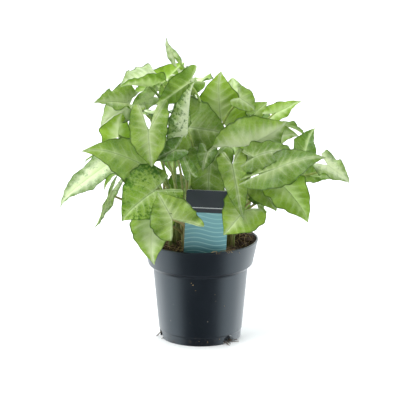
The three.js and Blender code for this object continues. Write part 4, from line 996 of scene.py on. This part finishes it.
def set_values(mesh, name, rows):
    """Stores a vector for each vertex, which a material reads by name."""
    layer = mesh.attributes.new(name, "FLOAT_VECTOR", "POINT")
    layer.data.foreach_set("vector", np.asarray(rows, dtype=np.float32).ravel())


# Above, a blade is deep green with sunken veins, and its midrib carries painted shade in its groove. Its
# underside is lighter, with raised pale veins, and the pale tissue spreads less on it.
leaf_finishes = [
    new_material("blade_upper", blade_face, deep="#749830", light="#a1bd50", soft_pale="#c8d996",
                 cream="#e0e8c6", rib_tint="#66863a", glow="#a6c43c", spread_share=1.15, vein_height=-0.7),
    new_material("blade_lower", blade_face, deep="#7da634", light="#a6c752", soft_pale="#c4da92",
                 cream="#dae7b5", rib_tint="#cfe0a2", glow="#a6c43c", spread_share=0.55, vein_height=0.9),
    new_material("leaf_stalk", stalk_skin),
]
NOT_A_BLADE = (9, 9, 0)             # values of a stalk or stem for what only a blade reads
for number, (node, (foot, rows)) in enumerate(STEMS.items(), 1):
    leaves = [Leaf(row, 10 * number + i) for i, row in enumerate(rows)]
    parts = [stem_base(foot)]
    for leaf, angle in zip(leaves, ring_angles(leaves, foot)):
        parts += [leaf.blade(), stalk(leaf, foot, angle)]
    vertices, faces = joined([part[:2] for part in parts])
    growth = make_object(node.replace("stem", "growth"), vertices, faces, leaf_finishes, sharp=60)
    growth.data.polygons.foreach_set("material_index", [kind for part in parts for kind in part[2]])
    for name in LEAF_VALUES:
        set_values(growth.data, name, np.concatenate([
            part[3].get(name, np.tile(NOT_A_BLADE, (len(part[0]), 1))) for part in parts]))
    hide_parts(node)
    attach(growth, "root")


# ---------------------------------------------------------------- roots and spilt mix
# Thin roots have grown out through two of the arches, and a few crumbs of peat stick to the pot's wall.
# Nothing fixes them but the moisture.
ROOTS = [(-47, 5, (1, 6), (7, 13)), (-167, 3, (1, 7), (5, 9))]  # arch's angle, how many, heights, lengths
ROOT_START = 3                      # inside the foot's edge
ROOT_SPREAD, ROOT_TURN, ROOT_WANDER = 9, 0.9, 0.35      # degrees along the arch, then radians
ROOT_RADIUS, ROOT_TAPER, ROOT_STEPS, ROOT_SIDES = 0.5, 0.3, 7, 6
STUCK = [(-99, 68, 0.8), (-96, 62, 0.6), (-101, 70, 0.5), (-72, 57, 0.4), (-58, 43, 0.4), (-104, 26, 0.3),
         (-63, 7, 0.5), (-80, 5, 0.4), (-92, 6, 0.3)]      # angle round the pot, height, size


def root(angle, height, length, rng):
    """A root that comes out under an arch and curls on the ground."""
    a = math.radians(angle + rng.uniform(-ROOT_SPREAD, ROOT_SPREAD))
    heading = a + rng.uniform(-ROOT_TURN, ROOT_TURN)
    x, y = (FOOT_RADIUS - ROOT_START) * math.cos(a), (FOOT_RADIUS - ROOT_START) * math.sin(a)
    path, radii = [], []
    for i in range(ROOT_STEPS + 1):
        t = i / ROOT_STEPS
        path.append((x, y, max(ROOT_RADIUS, height * (1 - t) + 0.8 * math.sin(5 * t + height))))
        radii.append(ROOT_RADIUS - ROOT_TAPER * i / ROOT_STEPS)
        x += length / ROOT_STEPS * math.cos(heading)
        y += length / ROOT_STEPS * math.sin(heading)
        heading += rng.uniform(-ROOT_WANDER, ROOT_WANDER)
    return tube(path, radii, ROOT_SIDES)


def root_skin(tree):
    """A live root: dark brown and dull, with peat in its hairs."""
    place = add(tree, "TexCoord", out="Object")
    grain = add(tree, "TexNoise", {"Vector": place, "Scale": per_metre(1.667), "Detail": 4})
    tint = add(tree, "ValToRGB", [grain], stops=[(0, "#20170f"), (1, "#6b5136")])
    return add(tree, "BsdfPrincipled", {"Base Color": tint, "Roughness": 0.8})


dice = random.Random(5)
threads = [root(angle, dice.uniform(*heights), dice.uniform(*lengths), dice)
           for angle, count, heights, lengths in ROOTS for _ in range(count)]
roots = make_object("roots", *joined(threads), [new_material("brown_root", root_skin)], sharp=SMOOTH)
stuck = []
for angle, height, size in STUCK:
    a, r = math.radians(angle), body_radius(height)
    stuck.append(crumb((r * math.cos(a), r * math.sin(a), height), size, dice))
spilt = make_object("stuck_crumbs", *joined(stuck), [coir_finish], sharp=SMOOTH)
for piece in (roots, spilt):
    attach(piece, "root")


# ---------------------------------------------------------------- studio
# A pale floor in a white tent with bright walls at both sides and behind. The front of the tent is darker,
# so that a smooth dark surface shows a dark band between two bright ones. The floor isn't mirrored.
FLOOR_REACH = 8000


def painted_floor(tree):
    """Matt white floor paint."""
    return add(tree, "BsdfPrincipled", {"Base Color": "#f2f2f2", "Roughness": 0.9})


corners = [(x * FLOOR_REACH, y * FLOOR_REACH, 0) for x, y in ((-1, -1), (1, -1), (1, 1), (-1, 1))]
floor = make_object("floor", corners, [(0, 1, 2, 3)], [new_material("floor_paint", painted_floor)])
floor.visible_glossy = False

tent = bpy.data.worlds.new("tent")
tent.use_nodes = True
tree = tent.node_tree
tree.nodes.clear()
direction = add(tree, "SeparateXYZ", [add(tree, "TexCoord", out="Generated")]).node.outputs
sideways = add(tree, "Math", [direction["X"]], "ABSOLUTE")
walls = [
    add(tree, "MapRange", [way, starts, ends, dim, bright], **SOFT_EDGED)
    for way, starts, ends, dim, bright in (
        (direction["Y"], -0.78, -0.3, 0.12, 0.46),      # dim in front, a soft white all round
        (sideways, 0.55, 0.88, 0, 2.4),                 # bright at both sides
        (direction["Y"], 0.2, 0.7, 0, 1.6))]            # and behind
shade = add(tree, "Math", [walls[0], walls[1]], "ADD")
shade = add(tree, "Math", [shade, walls[2]], "ADD")
glow = add(tree, "Background", {"Color": "#f6fcff", "Strength": shade})
add(tree, "OutputWorld", {"Surface": glow})
bpy.context.scene.world = tent

LIT_POINT = Vector((0, 0, 0.15))


def soft_box(name, place, size, power):
    """An area light that looks at the plant and stays out of the picture."""
    lamp = bpy.data.lights.new(name, "AREA")
    lamp.shape, lamp.size, lamp.size_y, lamp.energy = "RECTANGLE", *size, power
    box = bpy.data.objects.new(name, lamp)
    box.location = place
    box.rotation_euler = (LIT_POINT - Vector(place)).to_track_quat("-Z", "Y").to_euler()
    box.visible_camera = False
    bpy.context.scene.collection.objects.link(box)


soft_box("top_box", place=(-0.6, -0.55, 1.5), size=(0.7, 0.7), power=23)    # the main light, high at the left
soft_box("back_box", place=(0.25, 1.1, 1.0), size=(0.9, 0.7), power=10)     # lights the leaves from behind

CAMERA_TARGET = Vector((-0.0005, 0, 0.1455))
CAMERA_DISTANCE, CAMERA_ELEVATION, CAMERA_LENS, CAMERA_SENSOR = 2.4, 14.3, 208.9, 36
tilt = math.radians(CAMERA_ELEVATION)
camera = bpy.data.objects.new("camera", bpy.data.cameras.new("camera"))
camera.location = CAMERA_TARGET + CAMERA_DISTANCE * Vector((0, -math.cos(tilt), math.sin(tilt)))
camera.rotation_euler = (math.pi / 2 - tilt, 0, 0)
camera.data.lens, camera.data.sensor_width = CAMERA_LENS, CAMERA_SENSOR
bpy.context.scene.collection.objects.link(camera)
bpy.context.scene.camera = camera
bpy.context.scene.view_settings.view_transform = "Standard"
